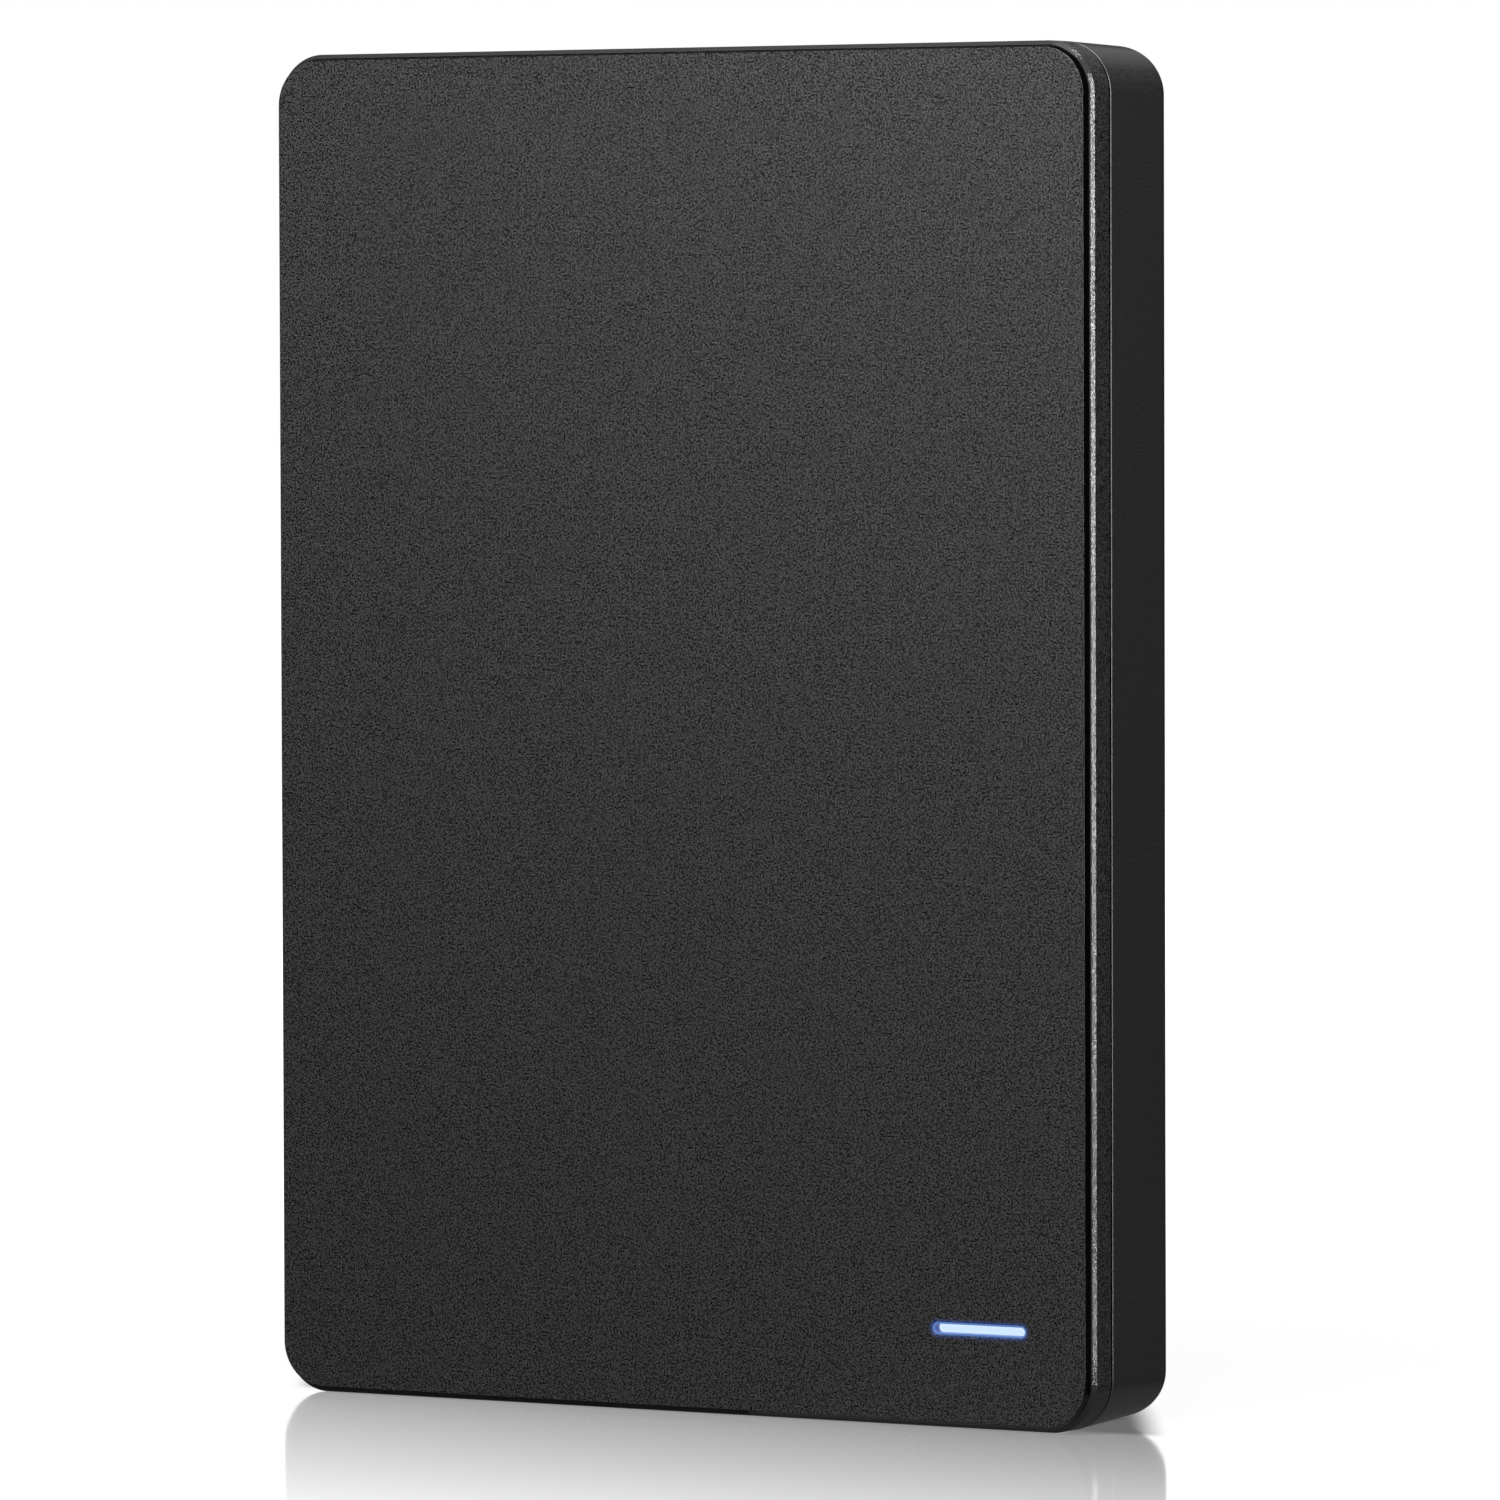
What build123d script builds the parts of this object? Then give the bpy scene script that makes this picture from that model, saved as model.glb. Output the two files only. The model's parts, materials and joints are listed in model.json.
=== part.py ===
from build123d import *
import math
import os

# Portable external hard drive: a two-shell plastic case, the disk drive inside it and its USB bridge board.
# Millimetres. The case stands on its short edge, X is its width, Z its length, and the face looks along -Y.

# Platters and spindle motor
platter_diameter = 65.0
platter_bore = 20.0
platter_thickness = 0.64
platter_spacing = 1.9
platter_edge_clearance = 0.6
platter_seat = 2.0
hub_flange = 0.55
hub_wall = 1.4
hub_roof = 0.9
hub_recess = 0.1
shaft_radius = 1.5
sleeve_wall = 1.5
stator_bore = 3.2
stator_yoke = 1.6
stator_height = 1.9
stator_teeth = 9
tooth_width = 1.1
tooth_head_width = 3.2
tooth_head_depth = 0.6
winding_thickness = 0.4
winding_end_turn = 0.3
motor_air_gap = 0.25
clamp_thickness = 0.6

# Drive casting, gasket and cover
casting_wall = 1.825
casting_floor = 1.2
casting_rim = 0.3
bay_wall = 5.4
connector_wall = 1.3
spindle_from_connector_end = 65.275
drive_corner_radius = 2.0
gasket_thickness = 0.4
gasket_setback = 0.4
gasket_width = 1.2
cover_thickness = 0.5
cover_margin = 0.3
cover_relief = 0.15
cover_relief_inset = 6.0
lower_head_room = 1.15
upper_head_room = 1.37

# Actuator, heads and voice-coil motor
pivot_x = 13.0
pivot_z = 27.0
pivot_shaft_radius = 1.6
pivot_bearing_radius = 3.6
pivot_housing_radius = 5.4
head_reach = 35.5
arm_reach = 24.0
arm_root_width = 9.0
arm_tip_width = 5.0
arm_rail = 1.3
outer_arm_thickness = 0.5
suspension_root = 19.0
suspension_thickness = 0.12
suspension_width = 4.4
tab_length = 2.2
slider_length = 1.2
slider_width = 1.0
slider_height = 0.25
flying_gap = 0.05
park_offset = 2.2
inner_track_margin = 2.0
coil_inner_radius = 6.7
coil_outer_radius = 14.0
coil_half_angle = 22.0
coil_winding = 2.3
coil_thickness = 1.5
fork_half_angle = 26.0
yoke_inner_radius = 6.2
yoke_outer_radius = 15.4
yoke_thickness = 0.9
magnet_thickness = 0.75
magnet_inner_radius = 7.4
magnet_outer_radius = 14.2
magnet_overlap = 16.0
post_orbit = 11.0
post_width = 1.4
post_length = 3.0
post_lead = 7.0
stop_thickness = 0.4
ramp_depth = 4.6
ramp_shelf = 1.9
ramp_spread = 4.0
ramp_clearance = 0.06
filter_size = (7.0, 5.0, 4.0)
head_connector_at = (-6.0, 17.0)
head_connector_size = (10.0, 4.5, 2.2)
head_connector_throat = (8.0, 2.6)

# Drive electronics
drive_board_thickness = 0.8
drive_chip_room = 1.0
drive_board_width = 56.0
drive_board_reach = 46.0
drive_board_setback = 0.6
controller_chip_at = (-15.0, 28.0)
controller_chip_size = (9.0, 9.0, 0.8)
memory_chip_at = (2.0, 30.0)
memory_chip_size = (8.0, 6.0, 0.8)
motor_chip_at = (15.0, 34.0)
motor_chip_size = (6.0, 6.0, 0.7)
connector_offset = 4.8
tongue_height = 3.5
tongue_thickness = 1.2
tongue_length = 5.0
tongue_gap = 2.4
tongue_margin = 1.2
contact_pitch = 1.27
contact_width = 0.8
contact_thickness = 0.12
signal_contacts = 7
power_contacts = 15
plug_body_depth = 3.4
plug_height = 4.5
guide_ear = 1.5
ear_gap = 1.0

# Bridge board and its parts
bridge_board_thickness = 1.0
bridge_board_width = 66.0
bridge_board_depth = 9.6
board_wall_gap = 0.3
board_drive_gap = 0.4
socket_height = 4.2
socket_seat = 4.2
socket_nose = 4.6
usb_x = -25.0
usb_width = 12.25
usb_height = 1.9
usb_main_width = 6.85
usb_neck = 0.6
usb_corner = 0.55
usb_metal = 0.3
usb_depth = 5.6
usb_setback = 0.35
usb_tongue_thickness = 0.6
usb_tongue_length = 3.2
usb_tongue_margin = 1.15
usb_contacts_each = 5
usb_contact_width = 0.3
chip_spacing = 1.6
flash_chip_size = (3.0, 2.4, 0.75)
bridge_chip_size = (4.6, 4.6, 0.85)
crystal_size = (3.2, 2.5, 0.7)
inductor_size = (3.0, 3.0, 1.4)
capacitor_size = (1.6, 0.8, 0.8)
led_size = (1.6, 0.8, 0.6)
part_edge = 0.1

# Cushions
pad_thickness = 0.8
pad_margin = 7.0
side_bumper = 3.775
end_bumper = 1.9
bumper_height = 8.0
bumper_arm = 15.0
bumper_edge = 0.5
side_bumper_length = 20.0
side_bumper_start = 6.0

# Case
shell_wall = 1.8
case_floor = 1.6
case_roof = 1.8
corner_radius = 4.4
rear_edge_radius = 2.2
front_shell_depth = 3.75
parting_gap = 0.28
rim_chamfer = 0.1
bevel_width = 0.4
bevel_height = 0.4
step_draft = 0.15
step_height = 0.65
lip_thickness = 0.8
lip_height = 1.5
snap_length = 8.0
snap_depth = 0.3
snap_height = 0.6
board_post = 3.0
board_fence = 1.0
board_fence_length = 6.0
hold_down = 2.0
locating_rib = 1.0
locating_rib_height = 5.0

# Status light
light_x = 29.75
light_z = 8.4
light_length = 9.1
light_width = 1.1
light_recess = 0.9
light_flange = 1.0
light_flange_thickness = 0.8
light_foot_length = 3.2
light_collar_wall = 0.9
light_collar_height = 1.6

# Clearances
press_fit = 0.02
running_fit = 0.03
sliding_fit = 0.1
cut_out_fit = 0.2
loose_fit = 0.3

# Drive envelope and the levels inside it, measured from the drive's back
platter_radius = platter_diameter / 2
cavity_radius = platter_radius + platter_edge_clearance
drive_width = 2 * (cavity_radius + casting_wall)
drive_length = spindle_from_connector_end + cavity_radius + casting_wall
drive_board_inner = casting_rim + drive_board_thickness
recess_top = drive_board_inner + drive_chip_room
cavity_floor = recess_top + casting_floor
lower_platter_level = cavity_floor + lower_head_room
upper_platter_level = lower_platter_level + platter_thickness + platter_spacing
platter_top = upper_platter_level + platter_thickness
cover_level = platter_top + upper_head_room
casting_top = cover_level - gasket_thickness
drive_height = cover_level + cover_thickness
platter_middle = (lower_platter_level + platter_top) / 2

# Case envelope
case_width = drive_width + 2 * (side_bumper + shell_wall)
board_bay = board_wall_gap + bridge_board_depth + board_drive_gap
case_length = 2 * shell_wall + board_bay + drive_length + end_bumper
case_thickness = case_floor + drive_height + 2 * pad_thickness + case_roof
case_middle = case_length / 2
inner_width = case_width - 2 * shell_wall
inner_length = case_length - 2 * shell_wall
inner_radius = corner_radius - shell_wall
parting_level = case_thickness - front_shell_depth
roof_under = case_thickness - case_roof
drive_back = case_floor + pad_thickness
drive_front = drive_back + drive_height
drive_start = shell_wall + board_bay
drive_middle = drive_start + drive_length / 2

# Actuator angles, measured about the pivot from +X towards +Z
pivot_to_spindle = math.hypot(pivot_x, spindle_from_connector_end - pivot_z)
spindle_angle = math.degrees(math.atan2(spindle_from_connector_end - pivot_z, -pivot_x))
seat_radius = platter_bore / 2 + platter_seat


# Arm direction that puts the heads at a given radius from the spindle
def arm_angle(track_radius):
    adjacent = pivot_to_spindle**2 + head_reach**2 - track_radius**2
    return spindle_angle + math.degrees(math.acos(adjacent / (2 * pivot_to_spindle * head_reach)))


park_angle = arm_angle(platter_radius + park_offset)
inner_angle = arm_angle(seat_radius + inner_track_margin)
park_coil_angle = park_angle - 180
inner_coil_angle = inner_angle - 180

# SATA connector pair: places of the two tongues and their contacts across the drive
signal_width = (signal_contacts - 1) * contact_pitch + 2 * tongue_margin
power_width = (power_contacts - 1) * contact_pitch + 2 * tongue_margin
tongues_width = signal_width + tongue_gap + power_width
signal_x = connector_offset - tongues_width / 2 + signal_width / 2
power_x = connector_offset + tongues_width / 2 - power_width / 2
signal_places = [signal_x + (i - (signal_contacts - 1) / 2) * contact_pitch for i in range(signal_contacts)]
power_places = [power_x + (i - (power_contacts - 1) / 2) * contact_pitch for i in range(power_contacts)]
contact_places = signal_places + power_places
socket_width = tongues_width + 2 * tongue_margin
plug_width = socket_width + 2 * (ear_gap + guide_ear)
plug_start = drive_board_setback + tongue_length
connector_depth = plug_start + plug_body_depth + loose_fit
tongue_level = drive_back + tongue_height

# Bridge board levels and places
bridge_board_front = tongue_level - socket_height / 2
bridge_board_back = bridge_board_front - bridge_board_thickness
board_start = shell_wall + board_wall_gap
board_middle = board_start + bridge_board_depth / 2
socket_start = drive_start - socket_seat
chip_row = (board_start + socket_start) / 2
usb_level = bridge_board_front + usb_metal + usb_height / 2


# Plane parallel to the face at a level above the case's back, with its origin at x and z
def case_plane(level, x=0, z=0):
    return Plane(origin=(x, case_thickness / 2 - level, z), x_dir=(1, 0, 0), z_dir=(0, -1, 0))


# The same for the drive, from its back and its connector end
def drive_plane(level, x=0, z=0):
    return case_plane(drive_back + level, x, drive_start + z)


def spindle_plane(level):
    return drive_plane(level, 0, spindle_from_connector_end)


def pivot_plane(level):
    return drive_plane(level, pivot_x, pivot_z)


# Plane at the pivot whose X runs at an angle about the pivot, by default along the parked arm
def arm_plane(level, angle=park_angle):
    turned = math.radians(angle)
    return Plane(
        origin=pivot_plane(level).origin,
        x_dir=(math.cos(turned), 0, math.sin(turned)),
        z_dir=(0, -1, 0),
    )


# Plane square to the case's length at a distance above its lower edge, with local Y towards the back
def cross_plane(distance, x, level):
    return Plane(origin=(x, case_thickness / 2 - level, distance), x_dir=(1, 0, 0), z_dir=(0, 0, 1))


# Ring sector between two radii and two angles
def ring_sector(inner, outer, first, last):
    with BuildSketch() as sector:
        with BuildLine():
            far = CenterArc((0, 0), outer, first, last - first)
            near = CenterArc((0, 0), inner, first, last - first)
            Line(far @ 0, near @ 0)
            Line(far @ 1, near @ 1)
        make_face()
    return sector.sketch


# Two-lobed outline of the USB socket, its flat side towards the board
def usb_outline(growth):
    half = usb_width / 2
    side = usb_height / 2
    notch = side - usb_corner
    neck_start = usb_main_width - half
    neck_end = neck_start + usb_neck
    with BuildSketch() as outline:
        with BuildLine():
            Polyline(
                (-half, side),
                (half, side),
                (half, -notch),
                (half - usb_corner, -side),
                (neck_end + usb_corner, -side),
                (neck_end, -notch),
                (neck_start, -notch),
                (neck_start - usb_corner, -side),
                (-half + usb_corner, -side),
                (-half, -notch),
                close=True,
            )
        make_face()
        if growth:
            offset(amount=growth, kind=Kind.INTERSECTION)
    return outline.sketch


# Cavity of the casting: the round platter well joined to the actuator bay
def cavity_outline(growth):
    bay_start = connector_depth + connector_wall - growth
    bay_width = drive_width - 2 * bay_wall + 2 * growth
    bay_length = spindle_from_connector_end - bay_start
    with BuildSketch() as outline:
        with Locations((0, spindle_from_connector_end)):
            Circle(cavity_radius + growth)
        with Locations((0, bay_start + bay_length / 2)):
            Rectangle(bay_width, bay_length)
    return outline.sketch


def save(builder, label):
    builder.part.label = label
    export_step(builder.part, f"parts/{label}.step")


os.makedirs("parts", exist_ok=True)

# Rear shell: back, side walls and lower part of the edge, with the rebate for the front shell's lip
rebate_inset = shell_wall - lip_thickness - sliding_fit
rebate_depth = lip_height - parting_gap + sliding_fit
lip_end = parting_level + parting_gap - lip_height
snap_level = lip_end + loose_fit
snap_rows = (case_length / 4, 3 * case_length / 4)
snap_columns = (-case_width / 4, case_width / 4)
post_x = bridge_board_width / 2 - board_post
post_rows = (board_start + board_post / 2, board_start + bridge_board_depth - board_post / 2)
fence_x = bridge_board_width / 2 + sliding_fit + board_fence / 2
rib_x = (inner_width - side_bumper / 2) / 2
rib_first = drive_start + side_bumper_start - sliding_fit - locating_rib / 2
rib_last = rib_first + side_bumper_length + 2 * sliding_fit + locating_rib
with BuildPart() as rear_shell:
    with BuildSketch(case_plane(0, 0, case_middle)):
        RectangleRounded(case_width, case_length, corner_radius)
    extrude(amount=parting_level)
    fillet(rear_shell.faces().sort_by(Axis.Y)[-1].edges(), rear_edge_radius)
    chamfer(rear_shell.faces().sort_by(Axis.Y)[0].edges(), rim_chamfer)
    with BuildSketch(case_plane(case_floor, 0, case_middle)):
        RectangleRounded(inner_width, inner_length, inner_radius)
    extrude(amount=case_thickness, mode=Mode.SUBTRACT)
    with BuildSketch(case_plane(parting_level - rebate_depth, 0, case_middle)):
        RectangleRounded(
            case_width - 2 * rebate_inset,
            case_length - 2 * rebate_inset,
            corner_radius - rebate_inset,
        )
    extrude(amount=case_thickness, mode=Mode.SUBTRACT)
    with BuildSketch(case_plane(snap_level - sliding_fit)):
        for row in snap_rows:
            with Locations((-case_width / 2 + rebate_inset, row), (case_width / 2 - rebate_inset, row)):
                Rectangle(2 * snap_depth, snap_length + 2 * loose_fit)
        for column in snap_columns:
            with Locations((column, rebate_inset), (column, case_length - rebate_inset)):
                Rectangle(snap_length + 2 * loose_fit, 2 * snap_depth)
    extrude(amount=snap_height + 2 * sliding_fit, mode=Mode.SUBTRACT)
    with BuildSketch(case_plane(case_floor)):
        for row in post_rows:
            with Locations((-post_x, row), (post_x, row)):
                Rectangle(board_post, board_post)
    extrude(amount=bridge_board_back - case_floor)
    with BuildSketch(case_plane(case_floor)):
        with Locations((-fence_x, board_middle), (fence_x, board_middle)):
            Rectangle(board_fence, board_fence_length)
    extrude(amount=bridge_board_front - case_floor)
    with BuildSketch(case_plane(case_floor)):
        for row in (rib_first, rib_last):
            with Locations((-rib_x, row), (rib_x, row)):
                Rectangle(side_bumper / 2, locating_rib)
    extrude(amount=locating_rib_height)
    with BuildSketch(cross_plane(0, usb_x, usb_level)):
        add(usb_outline(usb_metal + cut_out_fit))
    extrude(amount=shell_wall, mode=Mode.SUBTRACT)
save(rear_shell, "rear_shell")

# Front shell: raised face, stepped and bevelled rim, lip with snaps, collar for the light guide
shoulder = case_thickness - step_height
step_angle = math.degrees(math.atan(step_draft / step_height))
lip_inset = shell_wall - lip_thickness
collar_length = light_length + 2 * (light_flange + sliding_fit)
collar_width = light_width + 2 * (light_flange + sliding_fit)
hold_downs_at = (
    (usb_x + usb_width / 2 + usb_metal + hold_down, chip_row),
    (bridge_board_width / 2 - hold_down / 2, board_start + hold_down),
)
with BuildPart() as front_shell:
    with BuildSketch(case_plane(parting_level + parting_gap, 0, case_middle)):
        RectangleRounded(case_width, case_length, corner_radius)
    extrude(amount=shoulder - parting_level - parting_gap)
    rim_face = front_shell.faces().sort_by(Axis.Y)[0]
    chamfer(rim_face.edges(), bevel_width, bevel_height, reference=rim_face)
    with BuildSketch(case_plane(shoulder, 0, case_middle)):
        RectangleRounded(
            case_width - 2 * bevel_width,
            case_length - 2 * bevel_width,
            corner_radius - bevel_width,
        )
    extrude(amount=step_height, taper=step_angle)
    with BuildSketch(case_plane(lip_end, 0, case_middle)):
        RectangleRounded(
            case_width - 2 * lip_inset,
            case_length - 2 * lip_inset,
            corner_radius - lip_inset,
        )
    extrude(amount=lip_height)
    with BuildSketch(case_plane(snap_level)):
        for row in snap_rows:
            with Locations((-case_width / 2 + lip_inset, row), (case_width / 2 - lip_inset, row)):
                Rectangle(2 * snap_depth, snap_length)
        for column in snap_columns:
            with Locations((column, lip_inset), (column, case_length - lip_inset)):
                Rectangle(snap_length, 2 * snap_depth)
    extrude(amount=snap_height)
    with BuildSketch(case_plane(0, 0, case_middle)):
        RectangleRounded(inner_width, inner_length, inner_radius)
    extrude(amount=roof_under, mode=Mode.SUBTRACT)
    with BuildSketch(case_plane(roof_under - light_collar_height, light_x, light_z)):
        Rectangle(collar_length + 2 * light_collar_wall, collar_width + 2 * light_collar_wall)
        Rectangle(collar_length, collar_width, mode=Mode.SUBTRACT)
    extrude(amount=light_collar_height)
    with BuildSketch(case_plane(bridge_board_front + sliding_fit)):
        with Locations(*hold_downs_at):
            Rectangle(hold_down, hold_down)
    extrude(amount=roof_under - bridge_board_front - sliding_fit)
    with BuildSketch(case_plane(roof_under, light_x, light_z)):
        SlotOverall(light_length, light_width)
    extrude(amount=case_roof, mode=Mode.SUBTRACT)
save(front_shell, "front_shell")

# Light guide: lens in the face slot, flange under the face, blade narrowing to the light on the board
guide_foot = bridge_board_front + led_size[2] + loose_fit
guide_shoulder = roof_under - light_flange_thickness
with BuildPart() as light_guide:
    with BuildSketch(case_plane(roof_under, light_x, light_z)):
        SlotOverall(light_length - 2 * sliding_fit, light_width - 2 * sliding_fit)
    extrude(amount=case_roof - light_recess)
    with BuildSketch(case_plane(guide_shoulder, light_x, light_z)):
        Rectangle(light_length + 2 * light_flange, light_width + 2 * light_flange)
    extrude(amount=light_flange_thickness)
    with BuildSketch(cross_plane(light_z - light_width / 2, light_x, 0)):
        with BuildLine():
            Polyline(
                (-light_foot_length / 2, -guide_foot),
                (light_foot_length / 2, -guide_foot),
                (light_length / 2, -guide_shoulder),
                (-light_length / 2, -guide_shoulder),
                close=True,
            )
        make_face()
    extrude(amount=light_width)
save(light_guide, "light_guide")

# Foam pads between the drive and the two shells
for label, pad_level in (("rear_pad", case_floor), ("front_pad", drive_front)):
    with BuildPart() as pad:
        with BuildSketch(case_plane(pad_level, 0, drive_middle)):
            Rectangle(drive_width - 2 * pad_margin, drive_length - 2 * pad_margin)
        extrude(amount=pad_thickness)
    save(pad, label)

# Rubber corner bumpers round the drive's far end
for label, side in (("left_corner_bumper", -1), ("right_corner_bumper", 1)):
    with BuildPart() as corner_bumper:
        with BuildSketch(case_plane(case_floor)):
            with Locations((0, case_middle)):
                RectangleRounded(inner_width - 2 * press_fit, inner_length - 2 * press_fit, inner_radius)
            with Locations((side * inner_width / 2, case_length - shell_wall)):
                Rectangle(2 * (bumper_arm + side_bumper), 2 * (bumper_arm + end_bumper), mode=Mode.INTERSECT)
            with Locations((0, drive_middle)):
                RectangleRounded(
                    drive_width + 2 * press_fit,
                    drive_length + 2 * press_fit,
                    drive_corner_radius,
                    mode=Mode.SUBTRACT,
                )
        extrude(amount=bumper_height)
    save(corner_bumper, label)

# Rubber side bumpers near the connector end, between the shell's locating ribs
bumper_z = drive_start + side_bumper_start + side_bumper_length / 2
for label, side in (("left_side_bumper", -1), ("right_side_bumper", 1)):
    with BuildPart() as block_bumper:
        with BuildSketch(case_plane(case_floor, side * (drive_width + side_bumper) / 2, bumper_z)):
            Rectangle(side_bumper - 2 * press_fit, side_bumper_length)
        extrude(amount=bumper_height)
        chamfer(block_bumper.faces().sort_by(Axis.Y)[0].edges(), bumper_edge)
    save(block_bumper, label)

# Bridge board
with BuildPart() as bridge_board:
    with BuildSketch(case_plane(bridge_board_back, 0, board_middle)):
        Rectangle(bridge_board_width, bridge_board_depth)
    extrude(amount=bridge_board_thickness)
save(bridge_board, "bridge_board")

# SATA socket on the bridge board, its nose in the drive's notch
slot_depth = socket_nose - drive_board_setback + sliding_fit
slot_start = drive_start + socket_nose - slot_depth
slot_height = tongue_thickness + 4 * contact_thickness + 2 * sliding_fit
with BuildPart() as sata_socket:
    with BuildSketch(cross_plane(socket_start, connector_offset, tongue_level)):
        Rectangle(socket_width, socket_height)
    extrude(amount=socket_seat + socket_nose)
    chamfer(sata_socket.faces().sort_by(Axis.Z)[-1].edges(), loose_fit)
    for tongue_x, width in ((signal_x, signal_width), (power_x, power_width)):
        with BuildSketch(cross_plane(slot_start, tongue_x, tongue_level)):
            Rectangle(width + 2 * sliding_fit, slot_height)
        extrude(amount=slot_depth, mode=Mode.SUBTRACT)
save(sata_socket, "sata_socket")

# Contacts of the socket, on the back wall of its slots
with BuildPart() as sata_socket_contacts:
    with BuildSketch(cross_plane(slot_start, 0, tongue_level)):
        for place in contact_places:
            with Locations((place, (slot_height - contact_thickness) / 2)):
                Rectangle(contact_width, contact_thickness)
    extrude(amount=slot_depth - loose_fit)
save(sata_socket_contacts, "sata_socket_contacts")

# USB socket: folded metal shell open at its mouth
with BuildPart() as usb_shell:
    with BuildSketch(cross_plane(usb_setback, usb_x, usb_level)):
        add(usb_outline(usb_metal))
        add(usb_outline(0), mode=Mode.SUBTRACT)
    extrude(amount=usb_depth)
save(usb_shell, "usb_shell")

# USB insulator: rear block and the two contact tongues
usb_back = usb_setback + usb_depth
usb_block = usb_depth - usb_tongue_length - usb_setback
usb_mouth = usb_back - usb_block - usb_tongue_length
usb_fast_width = usb_width - usb_main_width - usb_neck
usb_main_x = usb_x - usb_width / 2 + usb_main_width / 2
usb_fast_x = usb_x + usb_width / 2 - usb_fast_width / 2
usb_tongues = (
    (usb_main_x, usb_main_width - 2 * usb_tongue_margin),
    (usb_fast_x, usb_fast_width - 2 * usb_tongue_margin),
)
with BuildPart() as usb_insulator:
    with BuildSketch(cross_plane(usb_back - usb_block, usb_x, usb_level)):
        add(usb_outline(-press_fit))
    extrude(amount=usb_block)
    with BuildSketch(cross_plane(usb_mouth, 0, usb_level)):
        for tongue_x, width in usb_tongues:
            with Locations((tongue_x, 0)):
                Rectangle(width, usb_tongue_thickness)
    extrude(amount=usb_tongue_length)
save(usb_insulator, "usb_insulator")

# Contacts along the USB tongues
with BuildPart() as usb_contacts:
    contact_level = usb_level - (usb_tongue_thickness + contact_thickness) / 2
    with BuildSketch(cross_plane(usb_mouth + loose_fit, 0, contact_level)):
        for tongue_x, width in usb_tongues:
            pitch = (width - usb_contact_width) / (usb_contacts_each - 1)
            with Locations((tongue_x, 0)):
                with GridLocations(pitch, 0, usb_contacts_each, 1):
                    Rectangle(usb_contact_width, contact_thickness)
    extrude(amount=usb_tongue_length - loose_fit)
save(usb_contacts, "usb_contacts")

# Parts soldered on the bridge board: a row along the SATA socket, and the light under its guide
row_parts = (
    ("flash_chip", flash_chip_size),
    ("bridge_chip", bridge_chip_size),
    ("crystal", crystal_size),
    ("power_inductor", inductor_size),
)
bridge_parts = [("status_led", light_x, light_z, led_size)]
row_x = connector_offset - socket_width / 2 + hold_down
for label, size in row_parts:
    bridge_parts.append((label, row_x + size[0] / 2, chip_row, size))
    row_x += size[0] + chip_spacing
for label, x, z, (length, width, height) in bridge_parts:
    with BuildPart() as board_part:
        with BuildSketch(case_plane(bridge_board_front, x, z)):
            Rectangle(length, width)
        extrude(amount=height)
        chamfer(board_part.faces().sort_by(Axis.Y)[0].edges(), part_edge)
    save(board_part, label)

# Chip capacitors at the end of the row
with BuildPart() as board_capacitors:
    with BuildSketch(case_plane(bridge_board_front, row_x + capacitor_size[0] + chip_spacing / 2, chip_row)):
        with GridLocations(capacitor_size[0] + chip_spacing, 2 * capacitor_size[1], 2, 2):
            Rectangle(capacitor_size[0], capacitor_size[1])
    extrude(amount=capacitor_size[2])
save(board_capacitors, "board_capacitors")

# Drive casting: block with the platter well, actuator bay, board recess and connector notch
sleeve_radius = shaft_radius + running_fit + sleeve_wall
sleeve_start = recess_top / 2
stator_level = cavity_floor + winding_end_turn + loose_fit
with BuildPart() as drive_base:
    with BuildSketch(drive_plane(0, 0, drive_length / 2)):
        RectangleRounded(drive_width, drive_length, drive_corner_radius)
    extrude(amount=casting_top)
    with BuildSketch(drive_plane(cavity_floor)):
        add(cavity_outline(0))
    extrude(amount=casting_top, mode=Mode.SUBTRACT)
    with BuildSketch(drive_plane(0, 0, drive_board_reach / 2)):
        Rectangle(drive_board_width + 2 * loose_fit, drive_board_reach + 2 * loose_fit)
    extrude(amount=recess_top, mode=Mode.SUBTRACT)
    with BuildSketch(drive_plane(0, connector_offset, connector_depth / 2)):
        Rectangle(plug_width + 2 * loose_fit, connector_depth)
    extrude(amount=drive_board_inner + plug_height + loose_fit, mode=Mode.SUBTRACT)
    with BuildSketch(drive_plane(recess_top, *head_connector_at)):
        Rectangle(head_connector_throat[0] + 2 * sliding_fit, head_connector_throat[1] + 2 * sliding_fit)
    extrude(amount=casting_floor, mode=Mode.SUBTRACT)
    with BuildSketch(spindle_plane(cavity_floor)):
        Circle(stator_bore + stator_yoke / 2)
    extrude(amount=stator_level - cavity_floor)
    with BuildSketch(spindle_plane(sleeve_start)):
        Circle(sleeve_radius + press_fit)
    extrude(amount=casting_top, mode=Mode.SUBTRACT)
save(drive_base, "drive_base")

# Gasket round the cavity, between the casting and the cover
with BuildPart() as cover_gasket:
    with BuildSketch(drive_plane(casting_top)):
        add(cavity_outline(gasket_setback + gasket_width))
        add(cavity_outline(gasket_setback), mode=Mode.SUBTRACT)
    extrude(amount=gasket_thickness)
save(cover_gasket, "cover_gasket")

# Stamped cover with its shallow relief
with BuildPart() as drive_cover:
    with BuildSketch(drive_plane(cover_level, 0, drive_length / 2)):
        RectangleRounded(
            drive_width - 2 * cover_margin,
            drive_length - 2 * cover_margin,
            drive_corner_radius,
        )
    extrude(amount=cover_thickness)
    with BuildSketch(drive_plane(drive_height - cover_relief, 0, drive_length / 2)):
        Rectangle(drive_width - 2 * cover_relief_inset, drive_length - 2 * cover_relief_inset)
    extrude(amount=cover_relief, mode=Mode.SUBTRACT)
save(drive_cover, "drive_cover")

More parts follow.
